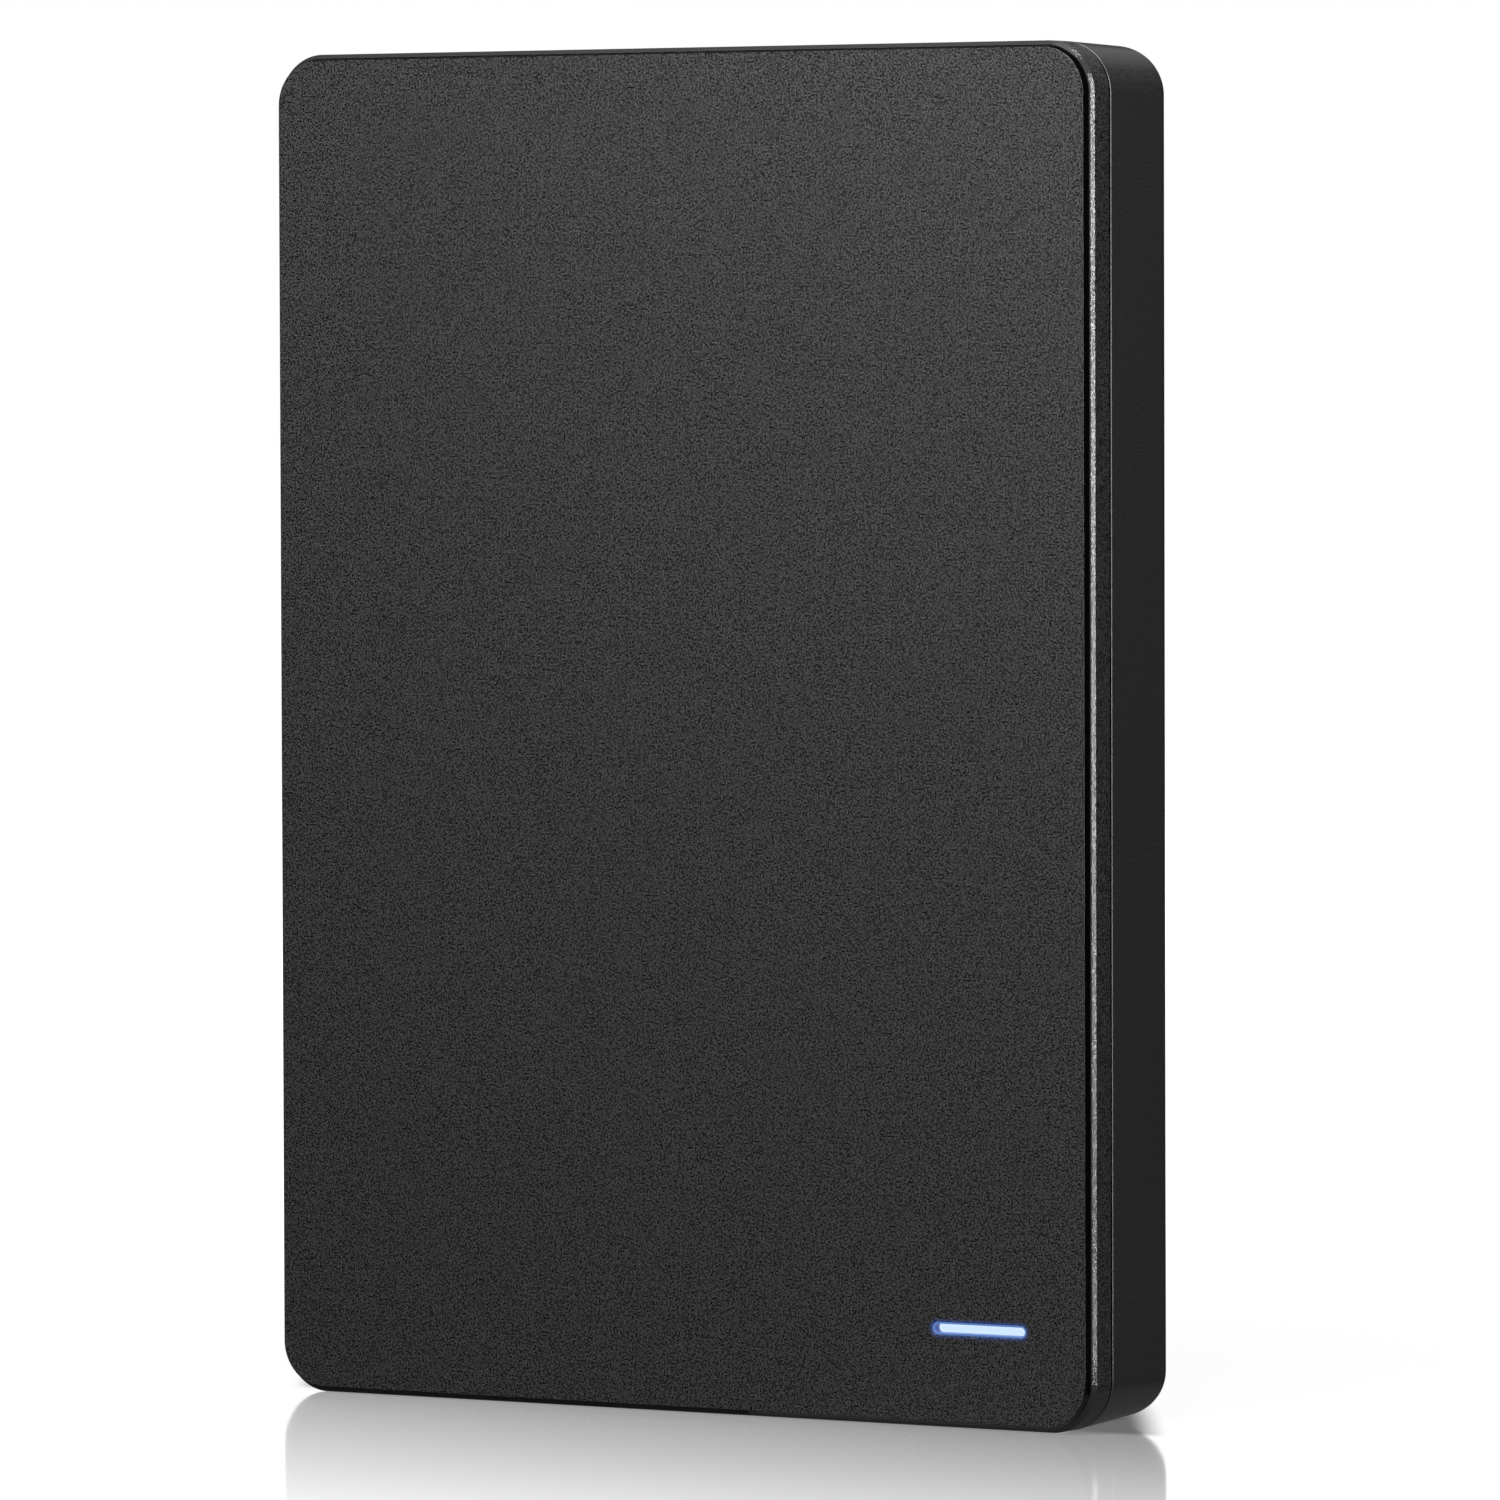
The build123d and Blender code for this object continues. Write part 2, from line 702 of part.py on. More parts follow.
# Motor, fixed side: bearing sleeve and the wound stator under the hub
hub_radius = platter_bore / 2 - press_fit
hub_bore = hub_radius - hub_wall
hub_top = platter_top - hub_recess
hub_roof_under = hub_top - hub_roof
stator_radius = hub_bore - motor_air_gap
tooth_end = stator_radius - tooth_head_depth
with BuildPart() as spindle_sleeve:
    with BuildSketch(spindle_plane(sleeve_start)):
        Circle(sleeve_radius)
        Circle(shaft_radius + running_fit, mode=Mode.SUBTRACT)
    extrude(amount=hub_roof_under - loose_fit - sleeve_start)
save(spindle_sleeve, "spindle_sleeve")

with BuildPart() as stator_core:
    with BuildSketch(spindle_plane(stator_level)):
        RegularPolygon(stator_bore + stator_yoke, stator_teeth)
        Circle(stator_bore, mode=Mode.SUBTRACT)
        with PolarLocations(0, stator_teeth):
            with Locations(((stator_bore + stator_yoke / 2 + tooth_end) / 2, 0)):
                Rectangle(tooth_end - stator_bore - stator_yoke / 2, tooth_width)
            with Locations((tooth_end, 0)):
                Rectangle(tooth_head_depth, tooth_head_width)
    extrude(amount=stator_height)
save(stator_core, "stator_core")

winding_start = stator_bore + stator_yoke + sliding_fit
winding_end = tooth_end - tooth_head_depth / 2 - sliding_fit
with BuildPart() as stator_windings:
    with BuildSketch(spindle_plane(stator_level - winding_end_turn)):
        with PolarLocations(0, stator_teeth):
            with Locations(((winding_start + winding_end) / 2, 0)):
                Rectangle(winding_end - winding_start, tooth_width + 2 * winding_thickness)
    extrude(amount=stator_height + 2 * winding_end_turn)
    with BuildSketch(spindle_plane(stator_level)):
        with PolarLocations(0, stator_teeth):
            with Locations(((winding_start + winding_end) / 2, 0)):
                Rectangle(winding_end - winding_start, tooth_width)
    extrude(amount=stator_height, mode=Mode.SUBTRACT)
save(stator_windings, "stator_windings")

# Hub: flange, skirt, roof and shaft turned about the spindle
spindle_section = Plane(origin=spindle_plane(0).origin, x_dir=(1, 0, 0), z_dir=(0, 0, -1))
with BuildPart() as spindle_hub:
    with BuildSketch(spindle_section):
        with BuildLine():
            Polyline(
                (0, sleeve_start + loose_fit),
                (shaft_radius, sleeve_start + loose_fit),
                (shaft_radius, hub_roof_under),
                (hub_bore, hub_roof_under),
                (hub_bore, lower_platter_level - hub_flange),
                (seat_radius, lower_platter_level - hub_flange),
                (seat_radius, lower_platter_level),
                (hub_radius, lower_platter_level),
                (hub_radius, hub_top),
                (0, hub_top),
                close=True,
            )
        make_face()
    revolve(axis=Axis(spindle_plane(0).origin, (0, -1, 0)))
save(spindle_hub, "spindle_hub")

# Platters, the spacer between them and the clamp on top
discs = (
    ("lower_platter", lower_platter_level, platter_thickness, platter_radius),
    ("platter_spacer", lower_platter_level + platter_thickness, platter_spacing, seat_radius),
    ("upper_platter", upper_platter_level, platter_thickness, platter_radius),
)
for label, level, thickness, radius in discs:
    with BuildPart() as disc:
        with BuildSketch(spindle_plane(level)):
            Circle(radius)
            Circle(platter_bore / 2, mode=Mode.SUBTRACT)
        extrude(amount=thickness)
    save(disc, label)

with BuildPart() as platter_clamp:
    with BuildSketch(spindle_plane(platter_top)):
        Circle(seat_radius)
    extrude(amount=clamp_thickness)
save(platter_clamp, "platter_clamp")

# Fixed pivot shaft between the casting floor and the cover
head_stand_off = flying_gap + slider_height + suspension_thickness
arm_low = lower_platter_level - head_stand_off - outer_arm_thickness
arm_high = platter_top + head_stand_off + outer_arm_thickness
with BuildPart() as pivot_shaft:
    with BuildSketch(pivot_plane(cavity_floor)):
        Circle(pivot_shaft_radius)
    extrude(amount=cover_level - cavity_floor)
save(pivot_shaft, "pivot_shaft")

# Bearing cartridge that turns on the shaft
with BuildPart() as pivot_bearing:
    with BuildSketch(pivot_plane(arm_low)):
        Circle(pivot_bearing_radius)
        Circle(pivot_shaft_radius + running_fit, mode=Mode.SUBTRACT)
    extrude(amount=arm_high - arm_low)
save(pivot_bearing, "pivot_bearing")

# Head stack block: pivot housing, three arms with lightening holes, and the fork that holds the coil
middle_arm_low = lower_platter_level + platter_thickness + head_stand_off
middle_arm_high = upper_platter_level - head_stand_off
arm_levels = (
    (arm_low, outer_arm_thickness),
    (middle_arm_low, middle_arm_high - middle_arm_low),
    (arm_high - outer_arm_thickness, outer_arm_thickness),
)
arm_taper = (arm_root_width - arm_tip_width) / arm_reach
hole_start = pivot_housing_radius + arm_rail
hole_end = suspension_root - arm_rail
hole_start_half = (arm_root_width - arm_taper * hole_start) / 2 - arm_rail
hole_end_half = (arm_root_width - arm_taper * hole_end) / 2 - arm_rail
with BuildPart() as actuator_arm:
    with BuildSketch(pivot_plane(arm_low)):
        Circle(pivot_housing_radius)
    extrude(amount=arm_high - arm_low)
    for level, thickness in arm_levels:
        with BuildSketch(arm_plane(level)):
            with BuildLine():
                Polyline(
                    (0, -arm_root_width / 2),
                    (arm_reach, -arm_tip_width / 2),
                    (arm_reach, arm_tip_width / 2),
                    (0, arm_root_width / 2),
                    close=True,
                )
            make_face()
            with BuildLine():
                Polyline(
                    (hole_start, -hole_start_half),
                    (hole_end, -hole_end_half),
                    (hole_end, hole_end_half),
                    (hole_start, hole_start_half),
                    close=True,
                )
            make_face(mode=Mode.SUBTRACT)
        extrude(amount=thickness)
    with BuildSketch(arm_plane(platter_middle - coil_thickness / 2, park_coil_angle)):
        add(ring_sector(pivot_bearing_radius, coil_outer_radius, -fork_half_angle, fork_half_angle))
        add(
            ring_sector(coil_inner_radius - press_fit, 2 * coil_outer_radius, -coil_half_angle, coil_half_angle),
            mode=Mode.SUBTRACT,
        )
    extrude(amount=coil_thickness)
    with BuildSketch(pivot_plane(arm_low)):
        Circle(pivot_bearing_radius + press_fit)
    extrude(amount=arm_high - arm_low, mode=Mode.SUBTRACT)
save(actuator_arm, "actuator_arm")

# Flat voice coil between the fork's tines
coil_middle_radius = (coil_inner_radius + coil_outer_radius) / 2
coil_side = coil_half_angle - math.degrees(press_fit / coil_inner_radius)
coil_hole_side = coil_side - math.degrees(coil_winding / coil_middle_radius)
with BuildPart() as voice_coil:
    with BuildSketch(arm_plane(platter_middle - coil_thickness / 2, park_coil_angle)):
        add(ring_sector(coil_inner_radius, coil_outer_radius, -coil_side, coil_side))
        add(
            ring_sector(
                coil_inner_radius + coil_winding,
                coil_outer_radius - coil_winding,
                -coil_hole_side,
                coil_hole_side,
            ),
            mode=Mode.SUBTRACT,
        )
    extrude(amount=coil_thickness)
save(voice_coil, "voice_coil")

# Four heads: a tapering suspension with a lift tab, and the slider on the side that faces a platter
heads = (
    ("lower_platter_back_head", lower_platter_level - flying_gap, -1),
    ("lower_platter_front_head", lower_platter_level + platter_thickness + flying_gap, 1),
    ("upper_platter_back_head", upper_platter_level - flying_gap, -1),
    ("upper_platter_front_head", platter_top + flying_gap, 1),
)
for label, slider_face, away in heads:
    with BuildPart() as head:
        with BuildSketch(arm_plane(slider_face)):
            with Locations((head_reach, 0)):
                Rectangle(slider_length, slider_width)
        extrude(amount=away * slider_height)
        with BuildSketch(arm_plane(slider_face + away * slider_height)):
            with BuildLine():
                Polyline(
                    (suspension_root, -suspension_width / 2),
                    (arm_reach, -suspension_width / 2),
                    (head_reach - slider_length, -slider_width),
                    (head_reach + slider_length, -slider_width / 2),
                    (head_reach + tab_length, -slider_width / 4),
                    (head_reach + tab_length, slider_width / 4),
                    (head_reach + slider_length, slider_width / 2),
                    (head_reach - slider_length, slider_width),
                    (arm_reach, suspension_width / 2),
                    (suspension_root, suspension_width / 2),
                    close=True,
                )
            make_face()
        extrude(amount=away * suspension_thickness)
    save(head, label)

# Magnet yokes and magnets
first_post = inner_coil_angle - fork_half_angle - post_lead
last_post = park_coil_angle + fork_half_angle + post_lead
lower_magnet_level = cavity_floor + yoke_thickness
upper_yoke_level = 2 * platter_middle - lower_magnet_level
upper_magnet_level = upper_yoke_level - magnet_thickness
for label, level in (("lower_yoke", cavity_floor), ("upper_yoke", upper_yoke_level)):
    with BuildPart() as yoke:
        with BuildSketch(pivot_plane(level)):
            add(ring_sector(yoke_inner_radius, yoke_outer_radius, first_post - post_lead, last_post + post_lead))
        extrude(amount=yoke_thickness)
    save(yoke, label)

magnet_first = inner_coil_angle - magnet_overlap
magnet_last = park_coil_angle + magnet_overlap
for label, level in (("lower_magnet", lower_magnet_level), ("upper_magnet", upper_magnet_level)):
    with BuildPart() as magnet:
        with BuildSketch(pivot_plane(level)):
            add(ring_sector(magnet_inner_radius, magnet_outer_radius, magnet_first, magnet_last))
        extrude(amount=magnet_thickness)
    save(magnet, label)

# Posts that hold the yokes apart
with BuildPart() as yoke_posts:
    for angle in (first_post, last_post):
        with BuildSketch(arm_plane(lower_magnet_level, angle)):
            with Locations((post_orbit, 0)):
                Rectangle(post_length, post_width)
        extrude(amount=upper_yoke_level - lower_magnet_level)
save(yoke_posts, "yoke_posts")

# Rubber sleeves on the posts, the actuator's end stops
with BuildPart() as end_stops:
    for angle in (first_post, last_post):
        with BuildSketch(arm_plane(platter_middle - coil_thickness / 2, angle)):
            with Locations((post_orbit, 0)):
                Rectangle(post_length + 2 * stop_thickness, post_width + 2 * stop_thickness)
                Rectangle(post_length + 2 * press_fit, post_width + 2 * press_fit, mode=Mode.SUBTRACT)
        extrude(amount=coil_thickness)
save(end_stops, "end_stops")

# Loading ramp: a post beyond the platter edge with one shelf for each platter's two lift tabs
shelf_start = head_reach + slider_length / 2 + loose_fit
shelf_lift = slider_height + flying_gap - ramp_clearance
ramp_end = shelf_start + ramp_depth
ramp_levels = (
    (shelf_start + ramp_shelf, cavity_floor, arm_high - cavity_floor),
    (shelf_start, lower_platter_level - shelf_lift, platter_thickness + 2 * shelf_lift),
    (shelf_start, upper_platter_level - shelf_lift, platter_thickness + 2 * shelf_lift),
)
with BuildPart() as load_ramp:
    for start, level, thickness in ramp_levels:
        with BuildSketch(drive_plane(level)):
            with Locations((pivot_x, pivot_z)):
                add(ring_sector(start, ramp_end, park_angle - ramp_spread, park_angle + ramp_spread))
            add(cavity_outline(-loose_fit), mode=Mode.INTERSECT)
            with Locations((0, spindle_from_connector_end)):
                Circle(cavity_radius, mode=Mode.SUBTRACT)
        extrude(amount=thickness)
save(load_ramp, "load_ramp")

# Filter cartridge and head connector in the actuator bay
filter_x = -drive_width / 2 + bay_wall + filter_size[0]
filter_z = connector_depth + connector_wall + filter_size[1]
with BuildPart() as air_filter:
    with BuildSketch(drive_plane(cavity_floor, filter_x, filter_z)):
        Rectangle(filter_size[0], filter_size[1])
    extrude(amount=filter_size[2])
    chamfer(air_filter.faces().sort_by(Axis.Y)[0].edges(), part_edge)
save(air_filter, "air_filter")

with BuildPart() as head_connector:
    with BuildSketch(drive_plane(cavity_floor, *head_connector_at)):
        Rectangle(head_connector_size[0], head_connector_size[1])
    extrude(amount=head_connector_size[2])
    with BuildSketch(drive_plane(drive_board_inner, *head_connector_at)):
        Rectangle(*head_connector_throat)
    extrude(amount=cavity_floor - drive_board_inner)
save(head_connector, "head_connector")

# Drive board in the casting's recess, chips on its inner side
board_span = drive_board_reach - drive_board_setback
with BuildPart() as drive_board:
    with BuildSketch(drive_plane(casting_rim, 0, drive_board_setback + board_span / 2)):
        Rectangle(drive_board_width, board_span)
    extrude(amount=drive_board_thickness)
save(drive_board, "drive_board")

drive_chips = (
    ("controller_chip", controller_chip_at, controller_chip_size),
    ("memory_chip", memory_chip_at, memory_chip_size),
    ("motor_chip", motor_chip_at, motor_chip_size),
)
for label, place, (length, width, height) in drive_chips:
    with BuildPart() as chip:
        with BuildSketch(drive_plane(drive_board_inner, *place)):
            Rectangle(length, width)
        extrude(amount=height)
        chamfer(chip.faces().sort_by(Axis.Y)[0].edges(), part_edge)
    save(chip, label)

# SATA plug on the drive board: body, two tongues and guide ears
plug_level = drive_back + drive_board_inner + plug_height / 2
ear_x = (plug_width - guide_ear) / 2
with BuildPart() as sata_plug:
    with BuildSketch(cross_plane(drive_start + plug_start, connector_offset, plug_level)):
        Rectangle(plug_width, plug_height)
    extrude(amount=plug_body_depth)
    with BuildSketch(cross_plane(drive_start + drive_board_setback, 0, tongue_level)):
        with Locations((signal_x, 0)):
            Rectangle(signal_width, tongue_thickness)
        with Locations((power_x, 0)):
            Rectangle(power_width, tongue_thickness)
    extrude(amount=tongue_length)
    with BuildSketch(cross_plane(drive_start + drive_board_setback, connector_offset, plug_level)):
        with Locations((-ear_x, 0), (ear_x, 0)):
            Rectangle(guide_ear, plug_height)
    extrude(amount=tongue_length)
save(sata_plug, "sata_plug")

with BuildPart() as sata_plug_contacts:
    with BuildSketch(cross_plane(drive_start + drive_board_setback + loose_fit, 0, tongue_level)):
        for place in contact_places:
            with Locations((place, (tongue_thickness + contact_thickness) / 2)):
                Rectangle(contact_width, contact_thickness)
    extrude(amount=tongue_length - loose_fit)
save(sata_plug_contacts, "sata_plug_contacts")
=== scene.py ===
import json
import math

import bmesh
import bpy
import numpy as np
from mathutils import Matrix, Vector


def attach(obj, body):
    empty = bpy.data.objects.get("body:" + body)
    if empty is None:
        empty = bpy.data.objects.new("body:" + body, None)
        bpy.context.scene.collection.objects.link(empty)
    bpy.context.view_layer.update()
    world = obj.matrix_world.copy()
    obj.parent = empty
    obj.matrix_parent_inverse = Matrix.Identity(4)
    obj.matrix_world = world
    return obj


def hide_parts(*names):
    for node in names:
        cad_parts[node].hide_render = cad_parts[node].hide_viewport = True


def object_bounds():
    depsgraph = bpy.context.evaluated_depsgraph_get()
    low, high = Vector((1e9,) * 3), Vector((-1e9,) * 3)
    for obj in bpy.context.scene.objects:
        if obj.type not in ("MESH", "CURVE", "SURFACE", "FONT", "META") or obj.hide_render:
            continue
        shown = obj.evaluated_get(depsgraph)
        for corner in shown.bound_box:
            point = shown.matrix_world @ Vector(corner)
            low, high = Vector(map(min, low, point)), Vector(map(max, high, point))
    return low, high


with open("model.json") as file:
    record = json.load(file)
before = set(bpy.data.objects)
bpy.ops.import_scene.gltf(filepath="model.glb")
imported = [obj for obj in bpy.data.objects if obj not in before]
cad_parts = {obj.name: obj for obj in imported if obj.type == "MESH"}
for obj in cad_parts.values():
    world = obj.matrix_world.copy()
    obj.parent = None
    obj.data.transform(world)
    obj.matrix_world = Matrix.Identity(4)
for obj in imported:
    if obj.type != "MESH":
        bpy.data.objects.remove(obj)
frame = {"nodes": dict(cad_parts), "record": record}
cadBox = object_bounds()
mm = 0.001
faceY = cadBox[0].y / mm  # the face, in millimetres
backY = cadBox[1].y / mm
caseWidth = (cadBox[1].x - cadBox[0].x) / mm
caseLength = (cadBox[1].z - cadBox[0].z) / mm
print("frame:", len(frame["nodes"]), "nodes, case", round(caseWidth, 2), "x", round(caseLength, 2), "mm")


# A rounded outline is a core rectangle grown by a turning normal: core walks the sides, normal turns at the corners.
# The extra side places let the rays of the light slot meet the outline.
def outlinePath(width, length, radius, perCorner, perSide, extraRight, extraLeft):
    halfX, halfZ = width / 2 - radius, length / 2 - radius
    turn = np.linspace(0, math.pi / 2, perCorner)
    spread = np.linspace(-1, 1, perSide + 2)[1:-1]
    across = spread * halfX
    right = np.unique(np.concatenate([spread * halfZ, extraRight[np.abs(extraRight) < halfZ]]))
    left = np.unique(np.concatenate([spread * halfZ, extraLeft[np.abs(extraLeft) < halfZ]]))
    one = np.ones(perCorner)
    cores, angles = [], []
    corners = ((halfX, halfZ), (-halfX, halfZ), (-halfX, -halfZ), (halfX, -halfZ))
    sides = (
        np.stack([-across, np.full(perSide, halfZ)], 1),
        np.stack([np.full(len(left), -halfX), left[::-1]], 1),
        np.stack([across, np.full(perSide, -halfZ)], 1),
        np.stack([np.full(len(right), halfX), right], 1),
    )
    for quarter in range(4):
        cores.append(np.stack([corners[quarter][0] * one, corners[quarter][1] * one], 1))
        angles.append(turn + quarter * math.pi / 2)
        cores.append(sides[quarter])
        angles.append(np.full(len(sides[quarter]), (quarter + 1) * math.pi / 2))
    angle = np.concatenate(angles)
    return np.concatenate(cores), np.stack([np.cos(angle), np.sin(angle)], 1)


# Each corner of a broken line becomes an arc that touches both sides, with a support point on either side of it.
def roundCorners(corners, rounds, steps, support=0.05):
    corners = np.array(corners, float)
    points = [corners[0]]
    for here in range(1, len(corners) - 1):
        corner, radius = corners[here], rounds[here]
        back = corners[here - 1] - corner
        ahead = corners[here + 1] - corner
        back /= np.linalg.norm(back)
        ahead /= np.linalg.norm(ahead)
        if radius == 0:
            points.append(corner)
            continue
        half = math.acos(np.clip(back @ ahead, -1, 1)) / 2
        reach = radius / math.tan(half)
        middle = corner + (back + ahead) / np.linalg.norm(back + ahead) * radius / math.sin(half)
        start, end = corner + back * reach - middle, corner + ahead * reach - middle
        sweep = math.pi - 2 * half
        share = np.linspace(0, 1, steps + 1)[:, None]
        arc = middle + (np.sin((1 - share) * sweep) * start + np.sin(share * sweep) * end) / math.sin(sweep)
        points.append(corner + back * (reach + support))
        points.extend(arc)
        points.append(corner + ahead * (reach + support))
    points.append(corners[-1])
    return np.array(points)


# A stadium is all points one radius from a straight core; this is its reach from the middle in a given direction.
def stadiumReach(direction, halfCore, radius):
    cosine, sine = np.abs(np.cos(direction)), np.abs(np.sin(direction))
    flat = radius / np.maximum(sine, 1e-9)  # never divides by zero
    cap = halfCore * cosine + np.sqrt(np.maximum(radius**2 - (halfCore * sine) ** 2, 0))
    return np.where(flat * cosine <= halfCore, flat, cap)


# Rings of equal length become a grid of quads, closed round each ring and, where asked, from the last to the first.
def ringFaces(rings, around, loop):
    first = np.arange(rings if loop else rings - 1)[:, None]
    second = (first + 1) % rings
    here = np.arange(around)[None, :]
    after = (here + 1) % around
    quads = np.stack(
        [first * around + here, first * around + after, second * around + after, second * around + here], -1
    )
    return quads.reshape(-1, 4).tolist()


# A tube of rings with a flat cap over its first and last ring
def cappedFaces(rings, around):
    last = around * (rings - 1)
    return ringFaces(rings, around, False) + [list(range(around)), list(range(last, last + around))]


def addPiece(name, points, faces, body, slot, sharpDegrees=40):
    mesh = bpy.data.meshes.new(name)
    mesh.from_pydata((np.asarray(points).reshape(-1, 3) * mm).tolist(), [], faces)
    grid = bmesh.new()
    grid.from_mesh(mesh)
    bmesh.ops.recalc_face_normals(grid, faces=grid.faces)
    grid.to_mesh(mesh)
    grid.free()
    mesh.shade_smooth()
    mesh.set_sharp_from_angle(angle=math.radians(sharpDegrees))
    piece = bpy.data.objects.new(name, mesh)
    bpy.context.scene.collection.objects.link(piece)
    if body:
        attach(piece, body)
    return piece


# The cutter is taken away for good, so the piece keeps a plain mesh.
def cutAway(piece, cutter, sharpDegrees=40):
    cut = piece.modifiers.new("cut", "BOOLEAN")
    cut.operation = "DIFFERENCE"
    cut.solver = "EXACT"
    cut.object = cutter
    bpy.context.view_layer.update()
    graph = bpy.context.evaluated_depsgraph_get()
    whole = piece.data
    piece.data = bpy.data.meshes.new_from_object(piece.evaluated_get(graph))
    piece.modifiers.clear()
    piece.data.name = piece.name
    bpy.data.meshes.remove(whole)
    cutterMesh = cutter.data
    bpy.data.objects.remove(cutter)
    bpy.data.meshes.remove(cutterMesh)
    piece.data.set_sharp_from_angle(angle=math.radians(sharpDegrees))


# A box picks low or high along each axis for its eight corners; rows of boxes share one array.
def boxRow(places):
    places = np.array(places, float)  # rows of low x, low y, low z, high x, high y, high z
    low, high = places[:, None, :3], places[:, None, 3:]
    pick = np.array([[i & 1, i >> 1 & 1, i >> 2 & 1] for i in range(8)])[None]
    points = low + (high - low) * pick
    sides = np.array([[0, 2, 3, 1], [4, 5, 7, 6], [0, 1, 5, 4], [2, 6, 7, 3], [0, 4, 6, 2], [1, 3, 7, 5]])
    faces = (sides[None] + 8 * np.arange(len(places))[:, None, None]).reshape(-1, 4)
    return points.reshape(-1, 3), faces.tolist()


lightSlot = {
    "x": 29.75,
    "z": 8.4,
    "length": 9.1,
    "width": 1.1,
    "edge": 0.06,  # rounding of its mouth
    "edgeSteps": 5,
    "support": 0.05,  # from the rounding to the next ring
    "margin": 0.5,  # flat ring round the mouth
}
frontShell = {
    "cornerRadius": 4.4,
    "faceInset": 0.55,  # face edge, in from the outer wall
    "stepInset": 0.40,  # foot of the step
    "stepDepth": 0.65,
    "bevelDepth": 1.05,
    "sideDepth": 3.47,
    "lipInset": 1.0,
    "lipDepth": 4.97,
    "wall": 1.8,
    "roof": 1.8,
    "faceRound": 0.05,
    "footRound": 0.7,
    "bevelRound": 0.05,
    "sideRound": 0.08,
    "perCorner": 22,
    "perSide": 26,
    "perCap": 17,
    "faceRings": 9,
    "roundSteps": 6,
    "flatInset": 1.3,  # outermost ring of the flat face
    "roofInset": 2.4,  # last ring under the face
    "zoneStart": 0.005,  # the step's zone begins this far behind the face
    "stepMargin": 0.02,
    "bevelMargin": 0.03,
}

slotCore = (lightSlot["length"] - lightSlot["width"]) / 2
slotRadius = lightSlot["width"] / 2
middleZ = caseLength / 2
capNormal = np.linspace(-math.pi / 2, math.pi / 2, frontShell["perCap"])
capSlope = slotRadius * np.sin(capNormal) / (slotCore + slotRadius * np.cos(capNormal))
core, normal = outlinePath(
    caseWidth,
    caseLength,
    frontShell["cornerRadius"],
    frontShell["perCorner"],
    frontShell["perSide"],
    lightSlot["z"] - middleZ + (caseWidth / 2 - lightSlot["x"]) * capSlope,
    lightSlot["z"] - middleZ + (caseWidth / 2 + lightSlot["x"]) * capSlope,
)


# One ring of the case outline, drawn in by an inset and set at a depth behind the face
def caseRing(inset, depth):
    flat = core + normal * (frontShell["cornerRadius"] - inset)
    return np.stack([flat[:, 0], np.full(len(flat), faceY + depth), flat[:, 1] + middleZ], 1)


frontProfile = roundCorners(
    [
        (frontShell["flatInset"], 0),
        (frontShell["faceInset"], 0),
        (frontShell["stepInset"], frontShell["stepDepth"]),
        (0, frontShell["bevelDepth"]),
        (0, frontShell["sideDepth"]),
        (frontShell["lipInset"], frontShell["sideDepth"]),
        (frontShell["lipInset"], frontShell["lipDepth"]),
        (frontShell["wall"], frontShell["lipDepth"]),
        (frontShell["wall"], frontShell["roof"]),
        (frontShell["roofInset"], frontShell["roof"]),
    ],
    [
        0,
        *(frontShell[key] for key in ("faceRound", "footRound", "bevelRound", "sideRound")),
        *(0, 0, 0, 0, 0),
    ],
    steps=frontShell["roundSteps"],
)
outerRings = np.stack([caseRing(inset, depth) for inset, depth in frontProfile])
ray = np.arctan2(outerRings[0, :, 2] - lightSlot["z"], outerRings[0, :, 0] - lightSlot["x"])


# One ring of the slot: a stadium grown by a margin, met by the rays that lead to the case outline
def slotRing(grow, depth):
    reach = stadiumReach(ray, slotCore, slotRadius + grow)
    return np.stack(
        [
            lightSlot["x"] + reach * np.cos(ray),
            np.full(len(ray), faceY + depth),
            lightSlot["z"] + reach * np.sin(ray),
        ],
        1,
    )


mouthTurn = np.linspace(0, math.pi / 2, lightSlot["edgeSteps"])
mouthReach = lightSlot["edge"] + lightSlot["support"]
slotProfile = [(0, frontShell["roof"]), (0, mouthReach)]
slotProfile += [
    (lightSlot["edge"] * (1 - math.cos(t)), lightSlot["edge"] * (1 - math.sin(t))) for t in mouthTurn
]
slotProfile += [(mouthReach, 0), (lightSlot["margin"], 0)]
innerRings = np.stack([slotRing(grow, depth) for grow, depth in slotProfile])
blendShare = np.linspace(0, 1, frontShell["faceRings"] + 2)[1:-1, None, None]
faceRings = innerRings[-1] * (1 - blendShare) + outerRings[0] * blendShare
frontRings = np.concatenate([innerRings, faceRings, outerRings])
shellFront = addPiece(
    "shellFront",
    frontRings,
    ringFaces(len(frontRings), len(ray), True),
    "case",
    "front_plastic",
)
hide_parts("front_shell")


# A zone is 1 on the rings whose depth lies between two depths of the profile, and 0 elsewhere.
def markZone(piece, name, low, high):
    before = len(innerRings) + len(faceRings)
    share = np.zeros(len(frontRings))
    outside = np.arange(len(frontProfile)) < 1 + np.argmax(frontProfile[:, 1] >= frontShell["sideDepth"])
    share[before:] = outside & (frontProfile[:, 1] > low) & (frontProfile[:, 1] < high)
    zone = piece.data.attributes.new(name, "FLOAT", "POINT")
    zone.data.foreach_set("value", np.repeat(share, len(ray)).astype(np.float32))


stepEnd = frontShell["stepDepth"] + frontShell["stepMargin"]
bevelEnd = frontShell["bevelDepth"] + frontShell["bevelMargin"]
# The step's zone carries the painted shade of the step; the bevel's zone carries its glossier finish.
markZone(shellFront, "paintedShadeZone", frontShell["zoneStart"], stepEnd)
markZone(shellFront, "bevelZone", stepEnd, bevelEnd)
print("front shell:", len(shellFront.data.polygons), "faces")

